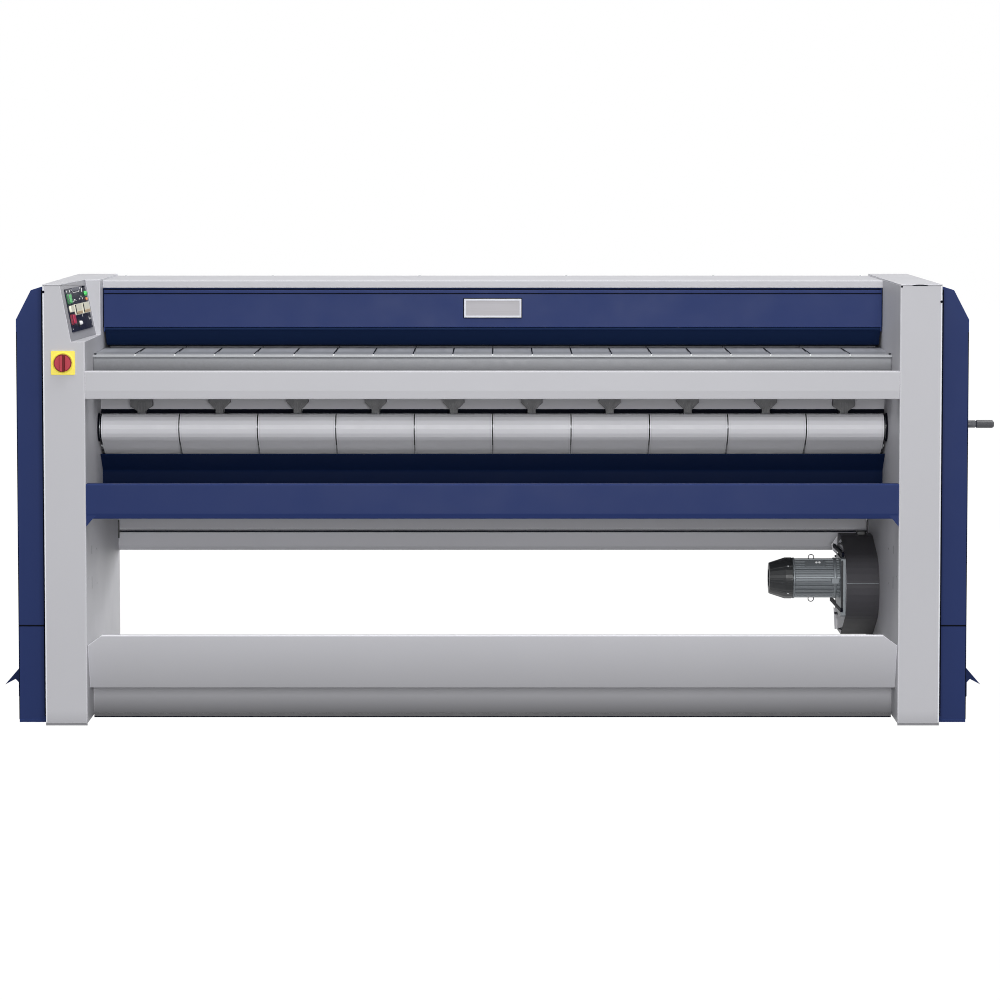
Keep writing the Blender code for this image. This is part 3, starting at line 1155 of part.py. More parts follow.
def hand_crank(drive_axis):
    """The crank that turns the cylinder by hand in a power failure, with a turning grip."""
    half = CRANK_WIDTH / 2
    round_end = circle((DRIVE_DEPTH, DRIVE_HEIGHT), half, ROUND_FACETS)
    front_end = circle((DRIVE_DEPTH - CRANK_LENGTH, DRIVE_HEIGHT), half, ROUND_FACETS)
    outline = [point for point in round_end if point[0] >= DRIVE_DEPTH]
    outline += sorted((point for point in front_end if point[0] <= DRIVE_DEPTH - CRANK_LENGTH),
                      key=lambda point: point[1])
    face = CRANK_X + CRANK_THICKNESS
    arm = prism("crank_arm", outline, CRANK_X, face, along_x, STEEL, metallic=1.0)
    neck_tip = face + CRANK_NECK_LENGTH
    spindle_tip = neck_tip + GRIP_BORE_DEPTH - GAP
    profile = [(CRANK_X + CRANK_THICKNESS / 2, 0), (CRANK_X + CRANK_THICKNESS / 2, CRANK_NECK_RADIUS),
               (neck_tip, CRANK_NECK_RADIUS), (neck_tip, CRANK_SPINDLE_RADIUS),
               (spindle_tip, CRANK_SPINDLE_RADIUS), (spindle_tip, 0)]
    grip_axis = axis_at(DRIVE_DEPTH - CRANK_LENGTH, DRIVE_HEIGHT)
    join(arm, turned("crank_spindle", profile, grip_axis, STEEL, facets=SMALL_FACETS))
    socket = circle((DRIVE_DEPTH, DRIVE_HEIGHT), DRIVE_SHAFT_RADIUS + GAP, ROUND_FACETS)
    cut(arm, prism("crank_socket", socket, COVER_X, CRANK_X + CRANK_BORE_DEPTH, along_x, STEEL))
    hang_on(arm, drive_axis)
    bore = hole_for(CRANK_SPINDLE_RADIUS, RUNNING_GAP, SMALL_FACETS)
    start, end = neck_tip + GAP, COVER_X + SIDE_REACH
    depth = start + GRIP_BORE_DEPTH
    profile = [(start, bore), (start, GRIP_RADIUS - GRIP_ROUND), (start + GRIP_ROUND, GRIP_RADIUS),
               (end - GRIP_ROUND, GRIP_RADIUS), (end, GRIP_RADIUS - GRIP_ROUND), (end, 0),
               (depth, 0), (depth, bore)]
    grip = turned("crank_grip", profile, grip_axis, BLACK, facets=SMALL_FACETS)
    hang_on(grip, grip_axis)


def fan_outline():
    """Side view of the fan's scroll: a round nose that widens towards the outlet."""
    centre = Vector((FAN_DEPTH, FAN_NOSE_HEIGHT))
    steps = SMALL_FACETS
    nose = []
    for step in range(steps + 1):
        turn = FAN_NOSE_START + (FAN_NOSE_END - FAN_NOSE_START) * step / steps
        nose.append(centre + FAN_NOSE_RADIUS * Vector((math.cos(turn), math.sin(turn))))
    top = FAN_NOSE_HEIGHT + FAN_TOP_RISE
    rear = [(FAN_BODY_REAR - FAN_BOTTOM_RUN, FAN_BOTTOM_HEIGHT), (FAN_BODY_REAR, FAN_BOTTOM_HEIGHT),
            (FAN_BODY_REAR, top), (FAN_BODY_REAR - FAN_TOP_RUN, top)]
    return nose + [Vector(point) for point in rear]


def fan_scroll():
    """Sheet scroll with an inlet towards the side frame and a spigot out of its back."""
    outline = fan_outline()
    right = INNER_X - GAP
    scroll = prism("fan_scroll", outline, FAN_X, right, along_x, DARK_STEEL)
    closed = outline + outline[:2]
    inner = offset(closed, SHEET)[1:-1]
    low = FAN_X + SPIGOT_MARGIN
    high = right - SPIGOT_MARGIN
    spigot_bottom = FAN_BOTTOM_HEIGHT + SPIGOT_RISE
    spigot_top = spigot_bottom + SPIGOT_HEIGHT
    rear = HOUSING_DEPTH + SPIGOT_OVERHANG
    duct = rectangle((low, spigot_bottom), (high, spigot_top))
    join(scroll, prism("spigot", duct, FAN_BODY_REAR - SHEET / 2, rear, along_y, DARK_STEEL))
    cut(scroll, prism("scroll_inside", inner, FAN_X + SHEET, right - SHEET, along_x, DARK_STEEL))
    bore = rectangle((low + SHEET, spigot_bottom + SHEET), (high - SHEET, spigot_top - SHEET))
    cut(scroll, prism("spigot_bore", bore, FAN_BODY_REAR - 2 * SHEET, rear + OVERRUN, along_y, DARK_STEEL))
    inlet = circle((FAN_DEPTH, FAN_AXIS_HEIGHT), FAN_INLET_RADIUS, ROUND_FACETS)
    cut(scroll, prism("scroll_inlet", inlet, right - 2 * SHEET, right + OVERRUN, along_x, DARK_STEEL))
    shaft = circle((FAN_DEPTH, FAN_AXIS_HEIGHT), FAN_SHAFT_RADIUS + JOURNAL_CLEARANCE, SMALL_FACETS)
    cut(scroll, prism("scroll_shaft_hole", shaft, FAN_X - OVERRUN, FAN_X + 2 * SHEET, along_x, DARK_STEEL))


def fan_motor():
    """A finned motor on an upright mounting plate, with its terminal box at the rear."""
    centre = (FAN_DEPTH, FAN_AXIS_HEIGHT)
    fins = []
    for index in range(FAN_MOTOR_FINS):
        for share in MOTOR_FIN_SHARES:
            turn = math.tau * (index + share) / FAN_MOTOR_FINS
            proud = share not in (MOTOR_FIN_SHARES[0], MOTOR_FIN_SHARES[-1])
            radius = FAN_MOTOR_RADIUS + (FAN_MOTOR_FIN_DEPTH if proud else 0)
            fins.append((centre[0] + radius * math.sin(turn), centre[1] + radius * math.cos(turn)))
    face = FAN_X - GAP
    plate_back = face - FAN_MOTOR_FLANGE
    body = prism("fan_motor", fins, face - FAN_MOTOR_LENGTH - FAN_MOTOR_FLANGE, plate_back + SHEET,
                 along_x, STEEL, metallic=0.5)
    half = FAN_PLATE_LENGTH / 2
    plate = rectangle((FAN_DEPTH - half, FAN_NOSE_HEIGHT - FAN_PLATE_DROP),
                      (FAN_DEPTH + half, FAN_NOSE_HEIGHT + FAN_PLATE_RISE))
    plate = rounded(plate, FRAME_ROUND, closed=True)
    join(body, prism("motor_flange", plate, plate_back, face, along_x, STEEL))
    length, depth, height = TERMINAL_BOX
    box = rectangle((FAN_DEPTH + FAN_MOTOR_RADIUS / 2, FAN_AXIS_HEIGHT - height / 2),
                    (FAN_DEPTH + FAN_MOTOR_RADIUS + depth, FAN_AXIS_HEIGHT + height / 2))
    middle = face - FAN_MOTOR_FLANGE - FAN_MOTOR_LENGTH / 2
    box_ends = (middle - length / 2, middle + length / 2)
    join(body, prism("terminal_box", rounded(box, FRAME_ROUND, closed=True), *box_ends, along_x, STEEL))
    bore = hole_for(FAN_SHAFT_RADIUS, RUNNING_GAP, SMALL_FACETS)
    socket = circle(centre, bore, SMALL_FACETS)
    cut(body, prism("motor_bore", socket, plate_back, face + OVERRUN, along_x, STEEL))


def motor_cowl():
    """The black cover over the motor's cooling fan, with an air hole in its end."""
    start = FAN_X - GAP - FAN_MOTOR_FLANGE - FAN_MOTOR_LENGTH - GAP
    length, wall, taper = FAN_COWL_LENGTH, FAN_COWL_WALL, FAN_COWL_TAPER
    profile = [(0, FAN_COWL_RADIUS), (length - taper, FAN_COWL_RADIUS), (length, FAN_COWL_END_RADIUS),
               (length, FAN_COWL_HOLE_RADIUS), (length - wall, FAN_COWL_HOLE_RADIUS),
               (length - wall, FAN_COWL_END_RADIUS - wall), (length - taper, FAN_COWL_RADIUS - wall),
               (0, FAN_COWL_RADIUS - wall)]
    centre = axis_at(FAN_DEPTH, FAN_AXIS_HEIGHT, start)
    turned("motor_cowl", profile, centre, BLACK, (-1, 0, 0))


def fan_impeller():
    """Backplate, hub and straight blades on the motor's shaft."""
    pivot = axis_at(FAN_DEPTH, FAN_AXIS_HEIGHT)
    back = FAN_X + SHEET + IMPELLER_END_GAP
    front = back + IMPELLER_WIDTH
    shaft_end = FAN_X - FAN_MOTOR_FLANGE + SHEET
    face, hub_end = back + IMPELLER_BACKPLATE, front - IMPELLER_END_GAP
    profile = [(shaft_end, 0), (shaft_end, FAN_SHAFT_RADIUS), (back, FAN_SHAFT_RADIUS),
               (back, IMPELLER_RADIUS), (face, IMPELLER_RADIUS), (face, IMPELLER_HUB_RADIUS),
               (hub_end, IMPELLER_HUB_RADIUS), (hub_end, 0)]
    wheel = turned("fan_impeller", profile, pivot, STEEL, metallic=1.0)
    blades = []
    inner, outer = IMPELLER_BLADE_INNER, IMPELLER_RADIUS - SHEET
    half = IMPELLER_BLADE_THICKNESS / 2
    for index in range(IMPELLER_BLADES):
        turn = math.tau * (index + 0.5) / IMPELLER_BLADES
        out = Vector((math.cos(turn), math.sin(turn)))
        across = Vector((-out.y, out.x)) * half
        centre = Vector((FAN_DEPTH, FAN_AXIS_HEIGHT))
        corners = [out * inner - across, out * outer - across, out * outer + across, out * inner + across]
        blades.append([centre + corner for corner in corners])
    join(wheel, prisms("blades", blades, back + IMPELLER_BACKPLATE / 2, front, along_x, STEEL))
    hang_on(wheel, pivot)


def build():
    for item in list(bpy.data.objects):
        bpy.data.objects.remove(item, do_unlink=True)
    for word, side in (("left", -1), ("right", 1)):
        side_frame(f"{word}_side_frame", side)
        side_cover(f"{word}_side_cover", side)
        service_panel(f"{word}_service_panel", side)
        for row, (x, depth) in zip(("front", "rear"), foot_places()):
            foot(f"{word}_{row}_foot", (side * x, depth))
    top_caps()
    control_panel()
    console_keys()
    main_switch()
    front_rail()
    chute_rail()
    linen_trough()
    kick_panel()
    feed_table()
    top_cover()
    hood_panel()
    finger_guard()
    rear_panels()
    delivery_chute()
    stripper_bar()
    ironing_belts()
    rollers()
    ironing_cylinder()
    cylinder_bearings()
    burner_tube()
    drive()
    fan_scroll()
    fan_motor()
    motor_cowl()
    fan_impeller()


build()
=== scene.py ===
"""Looks of the cylinder ironer: materials, small parts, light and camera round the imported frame.

Metres, +X to the operator's right, the operator in front on the -Y side, +Z up from the floor.
The profile of a round piece is a row of (along its axis, radius) points, and a screw's or lock's
size is its radius and height.
"""
import json
import math

import bmesh
import bpy
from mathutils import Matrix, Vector


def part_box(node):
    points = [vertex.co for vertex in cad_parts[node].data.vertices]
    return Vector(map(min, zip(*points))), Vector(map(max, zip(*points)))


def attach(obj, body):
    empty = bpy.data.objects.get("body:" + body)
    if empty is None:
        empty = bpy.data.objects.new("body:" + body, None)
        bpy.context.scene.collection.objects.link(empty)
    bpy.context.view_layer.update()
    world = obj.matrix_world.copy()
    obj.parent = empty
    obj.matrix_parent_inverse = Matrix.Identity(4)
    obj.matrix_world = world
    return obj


# Camera, at the photograph's viewing angle
CAMERA_PLACE = Vector((0.0233, -12.0868, 1.7700))
CAMERA_PITCH = 0.0707
CAMERA_LENS = 135.867
CAMERA_SHIFT = -0.08
PICTURE_WIDTH = 36.0
PIXEL_FILTER = 1.0

# Light: name, place, what it points at, side length and power
LIGHTS = (
    ("front", Vector((0.3, -9.0, 1.9)), Vector((0, 0, 0.85)), 3.0, 486),
    ("top", Vector((0.2, -1.2, 6.4)), Vector((0, 0, 0.8)), 5.0, 252),
    ("rear", Vector((3.4, 4.6, 1.0)), Vector((-1.2, 0.1, 0.5)), 2.0, 230),
)
AMBIENT = 0.30
FLOOR_SIDE = 60.0
FLOOR_GREY = 110
FLOOR_GLOW = 1.07
FLOOR_SHADOW_SHARE = 0.05
WHITE = (1, 1, 1, 1)

# How far a laid-on piece stands off, thin layers in front of a face, margins at a trim's ends,
# and the angles from which an edge is sharp and is bevelled
PROUD = 0.0003
LAYER = (-PROUD, -2 * PROUD)
SEAL_LAYER = (-PROUD, -3 * PROUD)
TRIM_MARGIN = 0.001
SHARP_ANGLE = math.radians(32)
BEVEL_ANGLE = math.radians(35)

# Edge radii of paint and steel, which also set the width of the painted edge highlights, and the paint's texture
EDGE_RADIUS = 0.0018
PAINT_EDGE_RADIUS = 0.003
TABLE_EDGE_RADIUS = 0.006
PEEL_SCALE = 650
PATCH_SCALE = 2.2

# Painted shade by height, darker towards the bottoms of the low panels, columns, scroll and table; the low paint's
# first band also paints its upper part paler, as painted light: heights from and to, and the shares of the colour
# there
LOW_PAINT_PAINTED_SHADE = ((0.115, 0.280, 0.92, 1.28), (0.012, 0.095, 0.30, 1.0))
COLUMN_PAINTED_SHADE = ((0.004, 0.048, 0.80, 1.0),)
SCROLL_PAINTED_SHADE = ((0.185, 0.265, 0.35, 1.0),)
BELT_PAINTED_SHADE = (0.854, 0.892, 0.80, 1.0)
TABLE_PAINTED_SHADE = ((1.072, 1.126, 0.55, 1.0), (1.1275, 1.1335, 0.50, 1.0))

# Main switch
KNOB_RADIUS = 0.027
SWITCH_COLLAR = ((0, 0.0285), (0.0022, 0.0285), (0.0030, 0.0300), (0.0022, 0.0320), (0, 0.0320))

# Name plate on the hood, left bare
NAME_PLATE = (0.184, 0.060)
NAME_PLATE_HEIGHT = 1.272
NAME_PLATE_THICKNESS = 0.002
NAME_PLATE_CORNER = 0.003
NAME_PLATE_BORDER = 0.006
NAME_PLATE_SHADOW = 0.0028

# Strip along the hood's upper edge, and dark strips of painted shade in the gaps over it, under it and at the
# hood's ends
HOOD_STRIP = (1.3207, 1.3305)
HOOD_STRIP_INSET = 0.006
HOOD_STRIP_THICKNESS = 0.0005
HOOD_UNDER_SHADE_HEIGHT = 0.0030
HOOD_GAP_HEIGHT = 0.0044
HOOD_END_SHADE = 0.0036
HOOD_END_SPAN = (1.212, 1.3366)

# Top caps: seams and corner holes, and the right cap's notch, all marked with painted shade
SEAM_HEIGHT = 0.0016
CORNER_HOLE_RADIUS = 0.0032
CORNER_HOLE_PLACE = (0.0045, 0.004)
NOTCH_PLACE = 1.3124
NOTCH_DROP = 0.0015
NOTCH_SIZE = (0.052, 0.0042)

# Stripper fingers over the belts, and a dark strip of painted shade between them under the bar
BELT_COUNT = 10
BELT_PITCH = 0.2485
STRIPPER_SHEET = 0.002
FINGER_NECK = 0.0128
FINGER_HEAD = 0.0348
FINGER_NECK_HEIGHT = 0.016
FINGER_FLARE_HEIGHT = 0.022
FINGER_HEAD_HEIGHT = 0.020
FINGER_DEPTHS = (0.050, 0.0105)
END_FINGER_DROP = 0.012
RIB_HALF = 0.0008
RIB_FOOT = 0.004
RIB_SHARES = (0.38, 0.42)
RIB_DEPTHS = (0.0106, 0.0092)
STRIPPER_SHADE_SPAN = (0.9402, 0.9527)
STRIPPER_SHADE_THICKNESS = 0.0012

# Table: a nosing on the lip as (back from the front, up from the table's highest line),
# with slots through it painted dark as shade, white beads at its edge as painted highlights and rubber stops at
# its corners
NOSING_TOP = ((-0.0015, -0.0125), (-0.0022, -0.0080), (-0.0012, -0.0045), (0.0020, -0.0028),
              (0.0100, -0.0020), (0.1150, -0.00045))
NOSING_UNDER = ((0.1150, -0.00075), (0.0130, -0.0083), (0.0040, -0.0105), (0.0005, -0.0125))
SLOT_REAR = (0.335, 0.0)
TABLE_SLOT_COUNT = 20
TABLE_SIDE_MARGIN = 0.007
SLOT_WIDTH = 0.0035
SLOT_RISE = 0.0005
SLOT_GLINT = ((0, 0), (0, 0.0030), (0.0014, 0.0021), (0.0018, 0))
SLOT_GLINT_PLACE = (-0.0008, -0.0050)
SLOT_GLINT_AXIS = (0, -0.8, 0.6)
TABLE_STOP = ((0, 0), (0, 0.0042), (0.0018, 0.0042), (0.0024, 0.002), (0.0024, 0))
TABLE_STOP_PLACE = (0.004, -0.0026)
TABLE_STOP_AXIS = (0, -0.3, 1)
TABLE_STOP_INSET = 0.007

# Painted shade: a dark sheet under the finger guard, in the gap over the table
GUARD_SHADE_GAP = 0.0048
GUARD_SHADE_THICKNESS = 0.0018
GUARD_SHADE_INSET = 0.008

# Separating strips in the gaps between the belts: section, start on the roller, run and tail on the chute
STRIP_WIDTH = 0.0030
STRIP_THICKNESS = 0.0008
STRIP_LIFT = 0.0016
STRIP_START = math.radians(85)
STRIP_STEPS = 14
STRIP_RUN = 0.040
STRIP_TAIL = 0.030
CHUTE_SLOPE = math.radians(39.2)

# Flanges, hubs, end discs and sleeves at the return roller's ends
FLANGE_BORE = 0.0105
FLANGE_THICKNESS = 0.0035
FLANGE_ROUND = 0.002
FLANGE_MARGIN = 0.006
FLANGE_HUB_LENGTH = 0.0055
FLANGE_HUB_RADIUS = 0.018
ROLLER_END = 1.2437
ROLLER_DISC = 0.0014
ROLLER_DISC_MARGIN = 0.001
SLEEVE_START = 1.2408
SLEEVE_LENGTH = 0.0042
SLEEVE_THICKNESS = 0.0015

# Console pieces: places and sizes in shares of the panel's length and height, then thickness or
# radius in metres; the lamps' dome is in shares of their radius
PANEL_HALF = 0.0015
CONSOLE_CORNER = 0.004
CONSOLE_SCREWS = ((0.03, 0.07), (0.97, 0.07), (0.03, 0.93), (0.97, 0.93))
CONSOLE_SCREW = (0.0025, 0.0012)
DISPLAY = ((0.50, 0.045), (0.38, 0.08), 0.0012)
SMALL_KEY = ((0.105, 0.47), (0.15, 0.15), 0.0060)
DISPLAY_FRAME = ((0.287, 0.034), (0.367, 0.115), (0.629, 0.115), (0.735, 0.029))
PRINTED_LINES = (((0.80, 0.05), (0.775, 0.14)), ((0.585, 0.635), (0.600, 0.70)),
                 ((0.30, 0.33), (0.36, 0.27)), ((0.36, 0.27), (0.44, 0.31)),
                 ((0.20, 0.03), (0.19, 0.09)), ((0.88, 0.74), (0.90, 0.80)))
PRINTED_DOTS = ((0.695, 0.243), (0.614, 0.285), (0.75, 0.29), (0.06, 0.06), (0.93, 0.78))
PRINTED_DOT = ((0, 0), (0, 0.0030), (0.0014, 0.0026), (0.0014, 0))
PRINT_RADIUS = 0.0013
LAMP_DOME = ((0, 0), (0, 1), (0.5, 1), (0.95, 0.72), (1.2, 0.35), (1.25, 0))
LAMPS = (("panel_green_lamp", (0.90, 0.185), 0.0078, "green_plastic", "green_lamp"),
         ("panel_amber_lamp", (0.92, 0.315), 0.0050, "red_plastic", "amber_lamp"))
DIAL = (0.349, 0.825)
DIAL_BEZEL = ((0, 0), (0, 0.0115), (0.0030, 0.0115), (0.0040, 0.01035), (0.0040, 0))
DIAL_KNOB = ((0.0042, 0), (0.0042, 0.0068), (0.0104, 0.00578), (0.013, 0.00408), (0.013, 0))

# Pads on the keys: painted shade on the wide keys' lower lips and flanks, painted highlights on the start and stop
# keys, the start key's glowing; place and size in shares of the key's half size, then slot and look
KEY_FLANK_SHADE = ((-0.93, 0.0), (0.16, 1.8), "black_plastic", "seal_black")
KEY_LIP_SHADE = ((0.0, 0.62), (1.6, 0.50), "cream_plastic", "key_lip")
KEY_PADS = {
    "speed_key": (KEY_LIP_SHADE, KEY_FLANK_SHADE),
    "heat_key": (KEY_LIP_SHADE, KEY_FLANK_SHADE),
    "start_key": (((0.25, 0.0), (0.9, 1.6), "green_plastic", "green_lamp"),),
    "stop_key": (((0.30, 0.0), (1.1, 1.6), "red_plastic", "red_pad"),),
}
KEY_PAD_THICKNESS = 0.0014
KEY_PAD_CORNER = 0.2

# Fan: the side plate's cut corner, rails beside the plate, gussets, bolts, painted shade in the recess, seam and
# clamp
SIDE_PLATE_CORNER = Vector((0, 0.225, 0.515))
SIDE_PLATE_SLOPE = Vector((0, 0.055, 0.225))
FAN_RAILS = (((1.1340, 0.064, 0.4720), (1.1340, 0.440, 0.4670)),
             ((1.1310, 0.076, 0.2900), (1.1310, 0.470, 0.2810)))
FAN_RAIL_SECTION = (0.013, 0.008)
FAN_GUSSET_PLACE = 0.40
FAN_GUSSET_SHEET = 0.002
FAN_GUSSETS = (((1.1446, 0.500), (1.1248, 0.471), (1.1285, 0.452), (1.1446, 0.436)),
               ((1.1335, 0.2614), (1.1446, 0.2535), (1.1446, 0.1884), (1.1374, 0.1884)))
FAN_BOLTS = ((0.24, 0.4905), (0.375, 0.435), (0.375, 0.245), (0.226, 0.211))
FAN_BOLT = ((0, 0), (0, 0.00512), (0.003, 0.00512), (0.003, 0.0032), (0.011, 0.0032), (0.011, 0))
FAN_RECESS_WIDTH = 0.0070
FAN_RECESS_INSET = 0.0155
FAN_RECESS_MARGINS = (0.026, 0.006)
FAN_SEAM = (0.3782, 0.3798)
FAN_SEAM_DEPTHS = (-0.0008, 0.0002)
FAN_CLAMP_PLACE = 0.33
FAN_CLAMP_INSET = 0.036
FAN_CLAMP_SIZE = (0.030, 0.040)
FAN_CLAMP_HEIGHT = 0.013

# Motor and cowl; an end frame's profile is in shares of its width, and off the motor's radius
MOTOR_RADIUS = 0.064
MOTOR_RING_X = 1.0386
MOTOR_RING_RADIUS = 0.009
MOTOR_RING_WIRE = 0.0013
MOTOR_RING_STAND = 0.004
MOTOR_FRAME = ((0, -0.012), (0, 0.0015), (0.2, 0.0025), (0.8, 0.0025), (1, 0.0015), (1, -0.012))
MOTOR_FRAME_INSETS = (-0.001, 0.036)
MOTOR_FRAME_WIDTHS = (0.006, 0.010)
MOTOR_LUG_X = 1.113
MOTOR_LUG_DROP = 0.003
MOTOR_LUG_SIZE = (0.024, 0.018)
MOTOR_LUG_DEPTHS = (0.008, -0.005)
MOTOR_BOSS_X = 1.050
MOTOR_BOSS_TURN = math.radians(52)
MOTOR_BOSS_SIZE = (0.066, 0.026)
MOTOR_BOSS_HEIGHTS = (-0.004, 0.0022)
MOTOR_BOSS_CAPS = ((0.003, 0.004, 0.0022), (0.013, 0.004, 0.0022))
MOTOR_BOSS_CAP = (0.0042, 0.0026)
COWL_RADIUS = 0.066
COWL_END_RADIUS = 0.050
COWL_STRAIGHT = 0.024
COWL_SCREW_TURNS = (-0.75, 0.75)
COWL_SCREW_INSET = 0.016
COWL_SCREW_SINK = 0.0004
COWL_SCREW = (0.0036, 0.0018)
COWL_RIDGE_TURNS = [math.radians(turn) for turn in (-8, 3, 40, -40, 90, 180, -90)]
COWL_RIDGE_RADIUS = 0.0020
COWL_RIDGE_SINK = 0.0006
COWL_RIDGE_ENDS = (0.003, 0.002)

# Screws, locks and seams of the covers; a head's profile is in shares of its height and radius
SCREW = (0.0045, 0.0022)
SCREW_HEAD = ((0, 0), (0, 1), (0.35, 1), (0.8, 0.78), (1, 0.5), (1, 0.45), (0.4, 0.45), (0.4, 0))
LOCK_HEAD = ((0, 0), (0, 1), (0.6, 1), (1, 0.8), (1, 0))
LOCK_SLOT = (0.0024, 0.0126)
LOCK_SLOT_HEIGHTS = (0.0034, 0.0027)
LOCK_RADIUS = 0.009
LOCK_HEIGHT = 0.003
LOCK_INSET = 0.05
LOCK_TOP_DROP = 0.17
LOCK_PANEL_DROP = 0.04
CAM_LOCK_X = 1.3782
CAM_LOCK_HEIGHTS = {-1: 1.344, 1: 1.314}
CAM_LOCK = (0.0042, 0.001)
COVER_SEAL = 0.0005
COVER_SEAL_INSET = 0.003
COVER_SEAL_DEPTHS = (-0.0030, -0.0012)
COVER_GAP_SHADE_HEIGHT = 0.0048
SIDE_SEAM = 0.0034
SIDE_SEAM_INSET = 0.0085
SIDE_SEAM_MARGIN = 0.010
OUTER_SEAM = 0.0022
OUTER_SEAM_MARGIN = 0.002
CHAMFER_FOOT = 1.22

# Inner walls, rear panel and louvres
WALL_SCREWS = ((-0.470, 1.057), (-0.470, 0.700), (-0.470, 0.460), (-0.445, 0.245), (-0.30, 0.060),
               (0.47, 0.475))
WALL_SCREW = (0.0035, 0.002)
WALL_SLOTS = ((-0.354, 0.5325, 0.027), (-0.354, 0.4295, 0.039), (-0.209, 0.521, 0.006),
              (-0.209, 0.411, 0.006))
WALL_SLOT_WIDTH = 0.006
WALL_SLOT_CORNER = 0.0029
PANEL_SCREW_SHARES = (-1, -0.6, -0.2, 0.2, 0.6, 1)
PANEL_SCREW_INSET = 0.03
PANEL_SCREW_MARGINS = (0.022, 0.06)
LOUVRE_ROWS = 8
LOUVRE_BOTTOM = 0.98
LOUVRE_PITCH = 0.022
LOUVRE_MIDDLE = 0.72
LOUVRE_WIDTH = 0.26
LOUVRE_SECTION = ((0, 0), (0.005, 0.001), (0.005, 0.003), (0.0025, 0.010), (0, 0.010))
LOUVRE_SLOT_DEPTHS = (0.0003, 0.0039)
LOUVRE_SLOT_HEIGHTS = (-0.0011, -0.0001)
LOUVRE_SLOT_INSET = 0.004
REAR_STOP_MIDDLE = (0.462, 0.516)
REAR_STOP_SIZE = (0.010, 0.060)
REAR_STOP_THICKNESS = 0.004

# Painted edge highlights, low trims, dark strips of painted shade over the rear beam and under the kick panel,
# crank ferrule and rings of the feet
EDGE_HIGHLIGHT_WIDTH = 0.0042
TRIM_END_MARGIN = 0.002
PLINTH_GAP = 0.0030
LOW_TRIM_DEPTHS = (0.004, 0.0006)
REAR_GAP = (0.5043, 0.5097)
REAR_SHADE_DEPTHS = (0.010, 0.014)
KICK_SHADE_STRIP = (0.0053, 0.0147)
KICK_FOOT_SHADOW = (0.0018, 0.0050)
FERRULE_INSET = 0.0005
FERRULE_GAP = 0.0008
FERRULE_SHARE = 0.92
FERRULE_ROUND = 0.002
FOOT_RING_INNER = 0.97
FOOT_RING_OUTER = ((0.0008, 0.0010), (0.003, 0.0018), (0.0055, 0.0006))
FOOT_RING_TOP = 0.0065

# Grain directions of brushed steel, and looks of single nodes that differ from their slot's
ALONG_X = (0.02, 1.0, 1.0)
ROUND_X = (1.0, 0.04, 0.04)
EVEN = (1.0, 1.0, 1.0)
OWN_LOOKS = {"crank_arm": "crank_steel", "crank_grip": "grip_plastic", "kick_panel": "low_paint",
             "linen_trough": "low_paint", "switch_knob": "knob_red", "finger_guard": "guard_paint",
             "left_side_frame": "column_paint", "right_side_frame": "column_paint"}

# Slot and look that several pieces share; the black seal look dresses both real rubber parts and dark strips of
# painted shade
SEAL_AND_SHADE = ("drive_rubber", "seal_black")
BLACK_SEAL_AND_SHADE = ("black_plastic", "seal_black")
WHITE_PRINT_AND_GLINT = ("cream_plastic", "print_white")

SIDES = ((-1, "left"), (1, "right"))
LOOKS = {}


def linear(red, green, blue):
    """Linear RGBA of an 8-bit sRGB colour."""
    result = []
    for channel in (red, green, blue):
        share = channel / 255
        result.append(share / 12.92 if share < 0.04 else ((share + 0.055) / 1.055) ** 2.4)
    return (*result, 1.0)


def shade(colour, factor):
    return (*(min(channel * factor, 1.0) for channel in colour[:3]), 1.0)


# Materials


class Nodes:
    """A node tree under construction."""

    def __init__(self, owner):
        owner.use_nodes = True
        self.tree = owner.node_tree

    def feed(self, node, inputs):
        """Link each socket to its source, or set it to a value."""
        for socket, source in inputs.items():
            if isinstance(source, bpy.types.NodeSocket):
                self.tree.links.new(source, node.inputs[socket])
            else:
                node.inputs[socket].default_value = source

    def add(self, kind, inputs=None, **settings):
        node = self.tree.nodes.new(kind)
        for key, value in settings.items():
            setattr(node, key, value)
        self.feed(node, inputs or {})
        return node

    def math(self, operation, first, second=0.0):
        return self.add("ShaderNodeMath", {0: first, 1: second}, operation=operation).outputs[0]

    def seen_directly(self):
        """1 for rays that show the surroundings: from the camera, a mirror or glass."""
        path = self.add("ShaderNodeLightPath").outputs
        mirrored = self.math("MAXIMUM", path["Is Camera Ray"], path["Is Glossy Ray"])
        return self.math("MAXIMUM", mirrored, path["Is Transmission Ray"])

    def output(self, name, share, first, second):
        """Send a mix of two shaders to the output node of that name."""
        mix = self.add("ShaderNodeMixShader", {0: share, 1: first.outputs[0], 2: second.outputs[0]})
        self.feed(self.tree.nodes[name], {"Surface": mix.outputs[0]})


